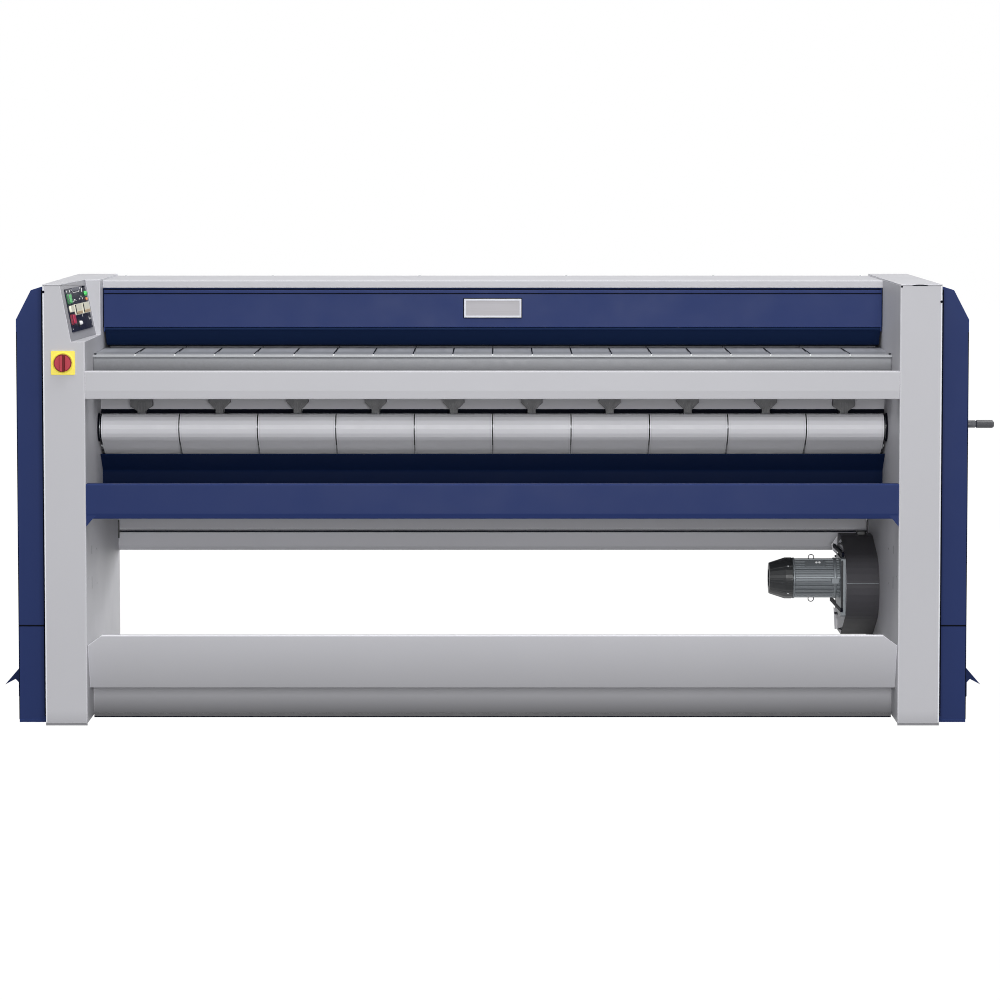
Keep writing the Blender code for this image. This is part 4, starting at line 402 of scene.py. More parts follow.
class Look(Nodes):
    """A material under construction: a Principled shader fed by textures in object coordinates."""

    def __init__(self, name):
        self.material = bpy.data.materials.new(name)
        super().__init__(self.material)
        self.coords = self.add("ShaderNodeTexCoord").outputs["Object"]

    def noise(self, scale, detail=3.0, stretch=None, roughness=0.55):
        place = self.coords
        if stretch:
            place = self.add("ShaderNodeMapping", {"Vector": place, "Scale": stretch}).outputs["Vector"]
        return self.add("ShaderNodeTexNoise", {"Vector": place, "Scale": scale, "Detail": detail,
                                               "Roughness": roughness}).outputs["Fac"]

    def wave(self, scale, direction):
        return self.add("ShaderNodeTexWave", {"Vector": self.coords, "Scale": scale},
                        bands_direction=direction).outputs["Fac"]

    def span(self, value, from_low, from_high, to_low, to_high):
        """Map a value from one range to another, clamped."""
        return self.add("ShaderNodeMapRange", {"Value": value, "From Min": from_low, "From Max": from_high,
                                               "To Min": to_low, "To Max": to_high}).outputs["Result"]

    def mixed(self, factor, first, second):
        return self.add("ShaderNodeMix", {0: factor, 6: first, 7: second}, data_type="RGBA").outputs[2]

    def mottled(self, colour, low, high, *noise):
        """A colour that wanders between two shares of itself."""
        return self.mixed(self.noise(*noise), shade(colour, low), shade(colour, high))

    def varied(self, low, high, *noise):
        """A number that wanders between two values."""
        return self.span(self.noise(*noise), 0.3, 0.7, low, high)

    def axis(self, name):
        """One object coordinate: X, Y or Z."""
        return self.add("ShaderNodeSeparateXYZ", {"Vector": self.coords}).outputs[name]

    def painted_shade_by_height(self, tone, low, high, at_low, at_high):
        """Painted shade: a tone that goes from one share of the colour to another with height."""
        share = self.span(self.axis("Z"), low, high, at_low, at_high)
        scaled_tone = self.add("ShaderNodeVectorMath", {0: tone, "Scale": share}, operation="SCALE")
        return scaled_tone.outputs["Vector"]

    def rounded_edges(self, radius):
        return self.add("ShaderNodeBevel", {"Radius": radius}, samples=6).outputs["Normal"]

    def edge_share(self, bevelled):
        """1 where the bevelled normal leaves the face's own, 0 on flat faces."""
        own = self.add("ShaderNodeNewGeometry").outputs["True Normal"]
        turned = self.add("ShaderNodeVectorMath", {0: bevelled, 1: own}, operation="DOT_PRODUCT")
        return self.span(turned.outputs["Value"], 0.999, 0.93, 0.0, 1.0)

    def edge_highlight_and_wear(self, bevelled, tone, colour, lift):
        """Paler edges: a painted highlight, and wear where the surface is thin or rubbed."""
        return self.mixed(self.edge_share(bevelled), tone, shade(colour, lift))

    def relief(self, height, strength, distance, normal=None):
        inputs = {"Height": height, "Strength": strength, "Distance": distance}
        if normal is not None:
            inputs["Normal"] = normal
        return self.add("ShaderNodeBump", inputs).outputs["Normal"]

    def finish(self, tone, roughness, normal, **others):
        """Feed the shader; a name with underscores stands for a socket with spaces."""
        inputs = {"Base Color": tone, "Roughness": roughness, "Normal": normal}
        inputs.update({key.replace("_", " "): source for key, source in others.items()})
        self.feed(self.tree.nodes["Principled BSDF"], inputs)
        return self.material


def powder_coat(name, colour, roughness, edge_lift=1.25, wander=0.035, gloss=0.1, painted_shades=()):
    """Baked powder paint: orange peel, faint patches of tone, edges paler as a painted highlight and as thinner
    paint, and bands of painted shade by height where given.
    """
    look = Look(name)
    bevelled = look.rounded_edges(PAINT_EDGE_RADIUS)
    tone = look.mottled(colour, 1 - wander, 1 + wander, PATCH_SCALE, 4.0)
    speckle = look.span(look.noise(PEEL_SCALE * 2, 1.0), 0.60, 0.75, 0.0, 0.10)
    tone = look.edge_highlight_and_wear(bevelled, look.mixed(speckle, tone, shade(colour, 1.5)), colour, edge_lift)
    for shade_band in painted_shades:
        tone = look.painted_shade_by_height(tone, *shade_band)
    return look.finish(tone, look.varied(roughness - 0.05, roughness + 0.06, 9, 5.0),
                       look.relief(look.noise(PEEL_SCALE, 2.0), 0.10, 0.00025, bevelled),
                       Specular_IOR_Level=gloss)


def brushed_steel(name, colour, roughness, stretch, metallic=0.85, fine=1.0, edge=EDGE_RADIUS, painted_shades=()):
    """Steel with a grain drawn out along one axis, edges paler as a painted highlight and wear, and bands of
    painted shade by height where given.
    """
    look = Look(name)
    bevelled = look.rounded_edges(edge)
    grain = look.noise(60 * fine, 6.0, stretch, 0.7)
    patches = look.span(look.noise(3.0, 3.0), 0.35, 0.65, 0.0, 0.35)
    tone = look.mixed(look.span(grain, 0.3, 0.7, 0.0, 1.0), shade(colour, 0.88), shade(colour, 1.10))
    tone = look.edge_highlight_and_wear(bevelled, look.mixed(patches, tone, shade(colour, 0.86)), colour, 1.35)
    for shade_band in painted_shades:
        tone = look.painted_shade_by_height(tone, *shade_band)
    return look.finish(tone, look.span(grain, 0.3, 0.7, roughness - 0.06, roughness + 0.08),
                       look.relief(grain, 0.12, 0.0002, bevelled), Metallic=metallic)


def cast_iron(name, colour):
    look = Look(name)
    bevelled = look.rounded_edges(EDGE_RADIUS)
    skin = look.noise(420, 5.0)
    # Edges painted paler: a painted highlight, and wear
    tone = look.edge_highlight_and_wear(bevelled, look.mottled(colour, 0.75, 1.3, 30, 4.0), colour, 2.0)
    return look.finish(tone, look.span(skin, 0.3, 0.7, 0.5, 0.7), look.relief(skin, 0.35, 0.0006, bevelled),
                       Metallic=0.35)


def moulded_plastic(name, colour, roughness, grain=0.18, gloss=0.5):
    """Plastic with a fine spark-eroded grain, and edges paler as a painted highlight and slight rubbing."""
    look = Look(name)
    bevelled = look.rounded_edges(EDGE_RADIUS / 2)
    tone = look.edge_highlight_and_wear(bevelled, look.mottled(colour, 0.93, 1.07, 25, 4.0), colour, 1.4)
    return look.finish(tone, look.varied(roughness - 0.06, roughness + 0.06, 60, 4.0),
                       look.relief(look.noise(1600, 2.0), grain, 0.0001, bevelled), Specular_IOR_Level=gloss)


def knob_plastic(name, colour, dark):
    """The red knob's plastic, with painted shade: darker round its rim and down one side of its grip."""
    look = Look(name)
    centre = joint_place("main_switch_turn")
    across = look.math("SUBTRACT", look.axis("X"), centre.x)
    up = look.math("SUBTRACT", look.axis("Z"), centre.z)
    squares = [look.math("MULTIPLY", way, way) for way in (across, up)]
    away = look.math("SQRT", look.math("ADD", *squares))
    # Painted shade: a darker ring round the rim and a darker band down one side of the grip
    rim = look.span(away, KNOB_RADIUS - 0.0035, KNOB_RADIUS - 0.0020, 0.0, 0.8)
    side = look.math("MULTIPLY", look.span(across, -0.0005, 0.0005, 0.0, 1.0),
                     look.span(across, 0.0075, 0.0085, 1.0, 0.0))
    tone = look.mixed(look.math("MAXIMUM", rim, side), look.mottled(colour, 0.93, 1.07, 25, 4.0), dark)
    return look.finish(tone, look.varied(0.30, 0.40, 60, 4.0),
                       look.relief(look.noise(1600, 2.0), 0.15, 0.0001, look.rounded_edges(EDGE_RADIUS)),
                       Specular_IOR_Level=0.15)


def belt_cloth(name, colour):
    """Coated ironing belt: a fine twill, worn tone along its run, paler hems as a painted highlight, a darker
    stitch line, and painted shade on its lower part.
    """
    look = Look(name)
    twill = look.math("ADD", look.wave(520, "X"), look.wave(640, "DIAGONAL"))
    shift = BELT_PITCH / 2 * (BELT_COUNT % 2 == 0)
    place = look.math("ADD", look.axis("X"), shift + BELT_PITCH * BELT_COUNT)
    across = look.math("FRACT", look.math("ADD", look.math("DIVIDE", place, BELT_PITCH), 0.5))
    off_middle = look.math("ABSOLUTE", look.math("SUBTRACT", across, 0.5))
    hem_highlight = look.span(off_middle, 0.478, 0.486, 0.0, 0.55)
    stitch = look.math("MULTIPLY", look.span(off_middle, 0.470, 0.472, 0.0, 1.0),
                       look.span(off_middle, 0.476, 0.474, 0.0, 1.0))
    tone = look.mottled(colour, 0.93, 1.06, 7, 5.0, (0.35, 1.6, 1.6))
    tone = look.mixed(look.span(twill, 0.4, 1.6, 0.0, 0.12), tone, shade(colour, 0.8))
    tone = look.painted_shade_by_height(look.mixed(hem_highlight, tone, shade(colour, 1.15)), *BELT_PAINTED_SHADE)
    tone = look.mixed(look.math("MULTIPLY", stitch, 0.4), tone, shade(colour, 0.5))
    return look.finish(tone, look.varied(0.46, 0.60, 40, 4.0), look.relief(twill, 0.10, 0.0003),
                       Sheen_Weight=0.08)


def rubber(name, colour):
    look = Look(name)
    texture = look.noise(900, 3.0)
    return look.finish(look.mottled(colour, 0.8, 1.5, 40, 4.0), look.span(texture, 0.3, 0.7, 0.62, 0.78),
                       look.relief(texture, 0.2, 0.0002))


def lamp_lens(name, colour, glow):
    """A ribbed coloured lens that glows a little."""
    look = Look(name)
    return look.finish(look.mottled(colour, 0.9, 1.1, 80, 2.0), 0.18,
                       look.relief(look.wave(900, "Y"), 0.2, 0.0002),
                       Emission_Color=colour, Emission_Strength=glow)


def make_looks():
    """One material for each slot of the record, and a few more for small pieces.

    A look is given as its 8-bit colour and then the values that its function takes, in order.
    """
    light, dull = (193, 193, 198), 0.46
    families = {
        powder_coat: {
            "light_paint": (light, dull, 1.7),
            "low_paint": (light, dull, 1.7, 0.035, 0.1, LOW_PAINT_PAINTED_SHADE),
            "column_paint": (light, dull, 1.7, 0.035, 0.1, COLUMN_PAINTED_SHADE),
            "plinth_paint": ((140, 140, 144), dull, 1.0),
            "plate_paint": ((236, 236, 241), dull),
            "trim_paint": ((236, 239, 246), 0.40),
            "console_paint": ((166, 166, 171), dull),
            "blue_paint": ((38, 52, 98), 0.42, 1.9, 0.05, 0.08),
            # The darker blues of the chute and the finger guard stand for the blue paint in shade: painted shade
            "dark_blue_paint": ((12, 25, 54), 0.50, 1.8, 0.08, 0.03),
            "guard_paint": ((21, 35, 65), 0.50, 1.8, 0.08, 0.03),
            "scroll_paint": ((71, 70, 74), 0.50, 1.7, 0.05, 0.1, SCROLL_PAINTED_SHADE),
        },
        brushed_steel: {
            "table_steel": ((166, 168, 174), 0.42, (1.0, 0.02, 1.0), 0.12, 1.0, TABLE_EDGE_RADIUS,
                            TABLE_PAINTED_SHADE),
            "nosing_steel": ((144, 146, 150), 0.36, ALONG_X, 0.12),
            "drum_steel": ((190, 192, 196), 0.16, ROUND_X, 1.0, 2.0),
            "roller_steel": ((165, 167, 170), 0.30, ROUND_X, 1.0),
            "motor_alloy": ((122, 127, 131), 0.48, ALONG_X, 0.35),
            "crank_steel": ((96, 97, 101), 0.36, ROUND_X, 0.3),
            "zinc": ((186, 188, 190), 0.28, EVEN, 1.0),
            "black_steel": ((26, 27, 30), 0.36, EVEN, 0.6),
            "plate_metal": ((170, 168, 172), 0.55, ALONG_X, 0.05),
            "plate_edge": ((206, 208, 215), 0.5, ALONG_X, 0.05),
        },
        moulded_plastic: {
            "black_plastic": ((36, 38, 40), 0.42),
            "panel_plastic": ((24, 26, 44), 0.45, 0.06, 0.12),
            "seal_black": ((8, 11, 22), 0.6, 0.1, 0.03),
            "yellow_plastic": ((255, 232, 78), 0.40),
            "red_plastic": ((128, 22, 42), 0.34),
            "green_plastic": ((26, 104, 56), 0.30),
            "cream_plastic": ((255, 250, 226), 0.34),
            "finger_plastic": ((52, 53, 57), 0.46),
            "rib_plastic": ((80, 81, 85), 0.46),
            "grip_plastic": ((72, 73, 77), 0.22, 0.08),
            "kick_shade": ((84, 84, 87), 0.6),
            "seam_shade": ((112, 112, 116), 0.6),
            "red_pad": ((205, 52, 84), 0.34),
            "key_lip": ((206, 180, 140), 0.4),
            "display_glass": ((38, 44, 66), 0.3, 0.02, 0.2),
            "print_white": ((225, 226, 228), 0.5, 0.02),
        },
        cast_iron: {"bearing_iron": ((66, 67, 70),)},
        belt_cloth: {"belt_cloth": ((222, 222, 227),)},
        rubber: {"drive_rubber": ((30, 30, 31),), "foot_rubber": ((32, 32, 33),)},
        lamp_lens: {"green_lamp": ((70, 200, 96), 0.10), "amber_lamp": ((236, 148, 96), 0.10)},
        knob_plastic: {"knob_red": ((184, 62, 76), linear(104, 6, 18))},
    }
    return {name: make(name, linear(*colour), *rest)
            for make, looks in families.items() for name, (colour, *rest) in looks.items()}


# Geometry: a shape is a list of rings of points, and whether the last ring joins the first


def skin(edit, rings, loop):
    """Join rings with faces; a ring of one point is a tip, and an open shape's ends get caps."""
    rings = [[edit.verts.new(point) for point in ring] for ring in rings]
    for end in () if loop else (rings[0], rings[-1]):
        if len(end) > 1:
            edit.faces.new(end)
    for first, second in zip(rings, rings[1:] + rings[:1] * loop):
        count = max(len(first), len(second))
        for n in range(count):
            beside = (n + 1) % count
            corners = (first[n % len(first)], first[beside % len(first)],
                       second[beside % len(second)], second[n % len(second)])
            edit.faces.new(list(dict.fromkeys(corners)))


def link_piece(name, edit, slot, look=None, body="housing", bevel=0.0, smooth=True):
    """Link a mesh as a piece of the object, with the look of its slot or its own look, its body and bevelled
    edges.
    """
    bmesh.ops.recalc_face_normals(edit, faces=edit.faces)
    mesh = bpy.data.meshes.new(name)
    edit.to_mesh(mesh)
    edit.free()
    if smooth:
        mesh.shade_smooth()
        mesh.set_sharp_from_angle(angle=SHARP_ANGLE)
    mesh.materials.append(LOOKS[look or slot])
    thing = bpy.data.objects.new(name, mesh)
    bpy.context.scene.collection.objects.link(thing)
    if bevel:
        edges = thing.modifiers.new("edges", "BEVEL")
        edges.width = bevel
        edges.segments = 2
        edges.limit_method = "ANGLE"
        edges.angle_limit = BEVEL_ANGLE
        edges.harden_normals = True
    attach(thing, body)


def piece(name, shapes, slot, look=None, **others):
    """A piece made of shapes."""
    edit = bmesh.new()
    for rings, loop in shapes:
        skin(edit, rings, loop)
    link_piece(name, edit, slot, look, **others)


def centred(middle, size):
    """Both ends of a size about a middle."""
    return middle - size / 2, middle + size / 2


def inset(low, high, margin):
    """Two ends, each moved inward by a margin."""
    return low + margin, high - margin


def from_edge(edge, steps):
    """Values at some steps from an edge."""
    return [edge + step for step in steps]


def scaled(profile, height, radius):
    """A profile in metres, from shares of a height and a radius."""
    return [(along * height, away * radius) for along, away in profile]


def washer(start, end, inner, outer):
    """Profile of a flat ring."""
    return [(start, inner), (end, inner), (end, outer), (start, outer)]


def pill(middle, size, corner, steps=6):
    """Outline of a rectangle with round corners."""
    (a, b), (wide, tall) = middle, (size[0] / 2 - corner, size[1] / 2 - corner)
    points = []
    for quarter, (way_a, way_b) in enumerate(((1, 1), (-1, 1), (-1, -1), (1, -1))):
        for step in range(steps + 1):
            turn = (quarter + step / steps) * math.pi / 2
            points.append((a + way_a * wide + corner * math.cos(turn),
                           b + way_b * tall + corner * math.sin(turn)))
    return points


def circle(centre, side, other, radius, facets):
    return [centre + (side * math.cos(turn) + other * math.sin(turn)) * radius
            for turn in (math.tau * n / facets for n in range(facets))]


def facing_front(x, z, y):
    return Vector((x, y, z))


def facing_side(y, z, x):
    return Vector((x, y, z))


def facing_up(x, y, z):
    return Vector((x, y, z))


def prism(outline, place, low, high):
    """An outline of (a, b) extruded from low to high; place(a, b, c) gives the point."""
    return [[place(a, b, end) for a, b in outline] for end in (low, high)], False


def block(across, deep, up):
    """A box between two values of x, of y and of z."""
    (left, right), (bottom, top) = across, up
    return prism([(left, bottom), (right, bottom), (right, top), (left, top)], facing_front, *deep)


def lathe(profile, centre, axis, facets=24):
    """Spin (along, radius) points: an open profile starts and ends on the axis, others are closed."""
    spindle = Vector(axis).normalized()
    side = spindle.orthogonal().normalized()
    rings = [circle(centre + spindle * along, side, spindle.cross(side), radius, facets if radius else 1)
             for along, radius in profile]
    return rings, profile[0][1] > 0


def bar(start, end, width, thickness, flat):
    """A straight bar of rectangular section; flat is the direction of its thickness."""
    side = (end - start).normalized().cross(flat).normalized() * width / 2
    lift = flat.normalized() * thickness / 2
    return [[point + side * a + lift * b for a, b in ((-1, -1), (1, -1), (1, 1), (-1, 1))]
            for point in (start, end)], False


def tube(points, radius, facets=10, closed=False):
    """A round bar along points."""
    count = len(points)
    rings = []
    for index, point in enumerate(points):
        before = points[index - 1] if closed or index else point
        after = points[(index + 1) % count] if closed or index < count - 1 else point
        run = (after - before).normalized()
        side = side - run * side.dot(run) if index else run.orthogonal()
        side.normalize()
        rings.append(circle(point, side, run.cross(side), radius, facets))
    return rings, closed


def ribbon(path, low, high, thickness):
    """A thin strip along (y, z) points, from x low to x high, its thickness to the path's right."""
    rings = []
    for index, point in enumerate(path):
        run = (path[min(index + 1, len(path) - 1)] - path[max(index - 1, 0)]).normalized()
        over = point + Vector((run.y, -run.x)) * thickness
        rings.append([(low, *point), (low, *over), (high, *over), (high, *point)])
    return rings, False


def screws(name, places, out, size=SCREW, pair=("roller_steel", "zinc")):
    """A group of equal screws with button heads and round sockets, as one piece."""
    radius, height = size
    head = scaled(SCREW_HEAD, height, radius)
    piece(name, [lathe(head, Vector(place), out, 18) for place in places], *pair)


def laid_sheet(name, node, keep, lift, thickness, look, corner=None):
    """A thin sheet over those faces of a CAD node that keep(face) picks, cut at a corner if one is given."""
    edit = bmesh.new()
    edit.from_mesh(frame["nodes"][node].data)
    edit.normal_update()
    bmesh.ops.delete(edit, geom=[face for face in edit.faces if not keep(face)], context="FACES")
    if corner:
        bmesh.ops.bisect_plane(edit, geom=[*edit.verts, *edit.edges, *edit.faces],
                               plane_co=corner[0], plane_no=corner[1], clear_outer=True)
    bmesh.ops.translate(edit, verts=edit.verts, vec=lift)
    grown = bmesh.ops.extrude_face_region(edit, geom=list(edit.faces))
    moved = [item for item in grown["geom"] if isinstance(item, bmesh.types.BMVert)]
    bmesh.ops.translate(edit, verts=moved, vec=thickness)
    link_piece(name, edit, "light_paint", look, smooth=False)


def joint_value(name, key):
    """A joint's position or axis in the frame, as a vector."""
    return Vector(next(joint[key] for joint in frame["joints"] if joint["name"] == name))


def joint_place(name):
    return joint_value(name, "pos_m")


def at_x(x, place):
    """The point on the axis through a place, along X, at an x."""
    return Vector((x, place.y, place.z))


def corners_of(node):
    return [vert.co for vert in frame["nodes"][node].data.vertices]


# Hood and top


def name_plate():
    """The hood's plate, bare: a raised bright border round a plain brushed field, and a dark sheet round it as its
    painted shadow.
    """
    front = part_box("hood_panel")[0].y
    height, (half, rise) = NAME_PLATE_HEIGHT, [side / 2 for side in NAME_PLATE]
    field = pill((0, height), NAME_PLATE, NAME_PLATE_CORNER)
    piece("name_plate", [prism(field, facing_front, front - PROUD, front - NAME_PLATE_THICKNESS)],
          "table_steel", "plate_metal", body="hood", bevel=0.0006)
    # Painted shadow: a black sheet just round the plate
    shadow = pill((0, height), [side + 2 * NAME_PLATE_SHADOW for side in NAME_PLATE], NAME_PLATE_CORNER)
    piece("name_plate_painted_shadow", [prism(shadow, facing_front, *from_edge(front, LAYER))], *SEAL_AND_SHADE, body="hood")
    deep = (front - NAME_PLATE_THICKNESS, front - 2 * NAME_PLATE_THICKNESS)
    inner, under = half - NAME_PLATE_BORDER, rise - NAME_PLATE_BORDER
    bars = []
    for side in (-1, 1):
        bars.append(block((-half, half), deep, (height + side * under, height + side * rise)))
        bars.append(block((side * inner, side * half), deep, (height - under, height + under)))
    piece("name_plate_border", bars, "table_steel", "plate_edge", body="hood", bevel=0.0007)


def hood_trim():
    """The strip along the hood's upper edge, and dark strips of painted shade in the gaps under it, over it and at
    both ends.
    """
    low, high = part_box("hood_panel")
    across = centred(0, 2 * (high.x - HOOD_STRIP_INSET))
    deep = (low.y - PROUD, low.y - PROUD - HOOD_STRIP_THICKNESS)
    piece("hood_strip", [block(across, deep, HOOD_STRIP)], "blue_paint", body="hood", bevel=0.0004)
    bottom, top = HOOD_STRIP[0] - PROUD, HOOD_STRIP[1] + PROUD
    outer = high.x - TRIM_MARGIN / 2
    spans = [(across, (bottom - HOOD_UNDER_SHADE_HEIGHT, bottom)), (across, (top, top + HOOD_GAP_HEIGHT))]
    spans += [((side * (outer - HOOD_END_SHADE), side * outer), HOOD_END_SPAN) for side in (-1, 1)]
    layer = from_edge(low.y, LAYER)
    piece("hood_gap_shades", [block(ends, layer, heights) for ends, heights in spans], *SEAL_AND_SHADE, body="hood")


def cap_details():
    """Painted shade: grey strips in the seams under the top caps, and black pieces in the corner holes and the
    right one's notch.
    """
    seams, holes = [], []
    hole = [(0, 0), (0, CORNER_HOLE_RADIUS), (PROUD, CORNER_HOLE_RADIUS), (PROUD, 0)]
    beside, under = CORNER_HOLE_PLACE
    for side, word in SIDES:
        low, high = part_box(f"{word}_top_cap")
        seams.append(block(inset(low.x, high.x, TRIM_MARGIN), (low.y - PROUD, low.y + PROUD),
                           (low.z - SEAM_HEIGHT, low.z)))
        inner = low.x if side > 0 else high.x
        holes.append(lathe(hole, Vector((inner + side * beside, low.y, low.z - under)), (0, -1, 0), 16))
    wide, tall = NOTCH_SIZE
    arc = [(NOTCH_PLACE + wide / 2 * math.cos(turn), low.z - NOTCH_DROP + tall * math.sin(turn))
           for turn in (math.pi * n / 12 for n in range(13))]
    holes.append(prism(arc, facing_front, *from_edge(low.y, LAYER)))
    piece("cap_seams", seams, "light_paint", "seam_shade")
    piece("cap_holes", holes, *BLACK_SEAL_AND_SHADE)


# Table, fingers and strips at the belts


def table_details():
    """A nosing on the table's lip, with black strips of painted shade in its slots, white beads at its edge as
    painted highlights, and corner stops.
    """
    low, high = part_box("feed_table")

    def at(points, rise=0.0):
        return [(low.y + back, high.z + up + rise) for back, up in points]

    nosing = at(NOSING_TOP) + at(NOSING_UNDER)
    piece("table_nosing", [prism(nosing, facing_side, low.x + PROUD, high.x - PROUD)],
          "table_steel", "nosing_steel")
    pitch = (high.x - low.x - 2 * TABLE_SIDE_MARGIN) / TABLE_SLOT_COUNT
    places = [(index - TABLE_SLOT_COUNT / 2) * pitch for index in range(1, TABLE_SLOT_COUNT)]
    run = (*NOSING_TOP[3:], SLOT_REAR)
    slot = at(run, SLOT_RISE) + at(run[::-1], -SLOT_RISE / 5)
    piece("table_slots", [prism(slot, facing_side, *centred(x, SLOT_WIDTH)) for x in places], *BLACK_SEAL_AND_SHADE)
    glint, stop = at([SLOT_GLINT_PLACE, TABLE_STOP_PLACE])
    piece("table_slot_glints", [lathe(SLOT_GLINT, Vector((x, *glint)), SLOT_GLINT_AXIS, 12) for x in places],
          *WHITE_PRINT_AND_GLINT)
    corners = [side * (high.x - TABLE_STOP_INSET) for side in (-1, 1)]
    piece("table_stops", [lathe(TABLE_STOP, Vector((x, *stop)), TABLE_STOP_AXIS, 16) for x in corners], *SEAL_AND_SHADE)


def guard_gap_shade():
    """Painted shade in the gap under the finger guard: a dark sheet down to just over the table."""
    low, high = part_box("finger_guard")
    edge = min(corner.y for corner in corners_of("finger_guard") if corner.z < low.z + 0.002)
    lip = block(inset(low.x, high.x, GUARD_SHADE_INSET),
                centred(edge + GUARD_SHADE_THICKNESS, GUARD_SHADE_THICKNESS),
                (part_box("feed_table")[1].z + GUARD_SHADE_GAP, low.z - PROUD))
    piece("guard_gap_shade", [lip], *SEAL_AND_SHADE, body="finger_guard")


def belt_middles():
    return [(index - (BELT_COUNT - 1) / 2) * BELT_PITCH for index in range(BELT_COUNT)]


def stripper_under_shade():
    """Painted shade: a dark strip along the stripper bar's lower edge, between its fingers."""
    low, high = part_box("stripper_bar")
    edges = [low.x + PROUD]
    for middle in belt_middles():
        edges += centred(middle, 2 * (FINGER_NECK + PROUD))
    edges.append(high.x - PROUD)
    front = high.y - STRIPPER_SHEET - PROUD
    shade_strips = [block(ends, (front, front - STRIPPER_SHADE_THICKNESS), STRIPPER_SHADE_SPAN) for ends in zip(edges[::2], edges[1::2])]
    piece("stripper_under_shade", shade_strips, *SEAL_AND_SHADE)


def finger_outline(middle, low, end_one):
    """A stripper finger's shape, mirrored about its middle; an end one flares lower down."""
    neck = low + FINGER_NECK_HEIGHT
    flare = neck + FINGER_FLARE_HEIGHT
    head = flare + FINGER_HEAD_HEIGHT
    if end_one:
        neck -= END_FINGER_DROP / 2
        flare -= END_FINGER_DROP
    half = [(FINGER_NECK, low), (FINGER_NECK, neck), (FINGER_HEAD, flare), (FINGER_HEAD, head)]
    return [(middle + x, z) for x, z in half] + [(middle - x, z) for x, z in half[::-1]]


def stripper_fingers():
    """Dark ribbed fingers over the middle of each belt, clipped over the bar's own; the ribs are a paler grey as a
    painted highlight.
    """
    low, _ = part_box("stripper_bar")
    bottom = low.z - PROUD
    turn = bottom + FINGER_NECK_HEIGHT
    fingers, ribs = [], []
    for number, middle in enumerate(belt_middles()):
        end_one = number in (0, BELT_COUNT - 1)
        outline = finger_outline(middle, bottom, end_one)
        fingers.append(prism(outline, facing_front, *from_edge(low.y, FINGER_DEPTHS)))
        for step in (-2, -1, 0, 1, 2):
            neck = step * FINGER_NECK * RIB_SHARES[0]
            head = neck if end_one else step * FINGER_HEAD * RIB_SHARES[1]
            line = [(middle + neck, bottom + RIB_FOOT), (middle + neck, turn),
                    (middle + head, turn + FINGER_FLARE_HEIGHT)]
            rib = [(x + RIB_HALF, z) for x, z in line] + [(x - RIB_HALF, z) for x, z in line[::-1]]
            ribs.append(prism(rib, facing_front, *from_edge(low.y, RIB_DEPTHS)))
    piece("stripper_fingers", fingers, "black_plastic", "finger_plastic", bevel=0.0006)
    piece("stripper_finger_ribs", ribs, "black_plastic", "rib_plastic")


def strip_path():
    """The separating strips' run as (y, z): round the return roller, straight on, and onto the chute."""
    centre = joint_place("return_roller_spin")
    low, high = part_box("return_roller")
    radius = (high.z - low.z) / 2 + STRIP_LIFT
    run = (joint_place("lower_idler_spin") - centre).yz.normalized()
    leave = math.atan2(-run.x, run.y) % math.tau
    path = []
    for step in range(STRIP_STEPS + 1):
        turn = STRIP_START + (leave - STRIP_START) * step / STRIP_STEPS
        path.append(centre.yz + radius * Vector((math.cos(turn), math.sin(turn))))
    low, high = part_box("delivery_chute")
    top = Vector((low.y, high.z))
    slope = Vector((math.cos(CHUTE_SLOPE), -math.sin(CHUTE_SLOPE)))
    lift = Vector((math.sin(CHUTE_SLOPE), math.cos(CHUTE_SLOPE))) * 2 * STRIP_THICKNESS
    path.append(path[-1] + run * STRIP_RUN)
    path.append(top + Vector((-2, 3)) * STRIP_THICKNESS)
    path += [top + slope * reach + lift for reach in (STRIP_TAIL / 2, STRIP_TAIL)]
    return path


def separator_strips():
    """Strips in the gaps between the belts, from over the return roller to the chute: black in the gaps as painted
    shade, and paler on the tails over the chute as painted light.
    """
    path = strip_path()
    spans = [centred((gap - BELT_COUNT / 2) * BELT_PITCH, STRIP_WIDTH) for gap in range(1, BELT_COUNT)]
    for name, run, look in (("separator_strips", path[:-3], "black_steel"),
                            ("separator_tails", path[-4:], "crank_steel")):
        piece(name, [ribbon(run, *ends, STRIP_THICKNESS) for ends in spans], "bearing_iron", look)


def roller_flanges():
    """Dark flanges and hubs on both inner walls, and discs and sleeves at the return roller's ends."""
    centre = joint_place("return_roller_spin")
    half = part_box("front_rail")[1].x
    low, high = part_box("return_roller")
    radius = (high.z - low.z) / 2
    wide = radius + FLANGE_MARGIN
    flange = [(0, FLANGE_BORE), (FLANGE_THICKNESS, FLANGE_BORE), (FLANGE_THICKNESS, wide - FLANGE_ROUND),
              (FLANGE_THICKNESS - FLANGE_ROUND, wide), (0, wide)]
    hub = washer(0, FLANGE_HUB_LENGTH, FLANGE_BORE, FLANGE_HUB_RADIUS)
    disc = washer(PROUD, ROLLER_DISC, FLANGE_BORE, radius - ROLLER_DISC_MARGIN)
    sleeve = washer(0, SLEEVE_LENGTH, radius + PROUD / 3, radius + SLEEVE_THICKNESS)
    flanges, ends = [], []
    for side in (-1, 1):
        flanges += [lathe(profile, at_x(side * half, centre), (-side, 0, 0), facets)
                    for profile, facets in ((flange, 40), (hub, 24))]
        ends += [lathe(profile, at_x(side * x, centre), (side, 0, 0), facets)
                 for profile, x, facets in ((disc, ROLLER_END, 40), (sleeve, SLEEVE_START, 48))]
    piece("roller_flanges", flanges, *BLACK_SEAL_AND_SHADE)
    piece("roller_end_discs", ends, *BLACK_SEAL_AND_SHADE, body="return_roller")


# Console and switch


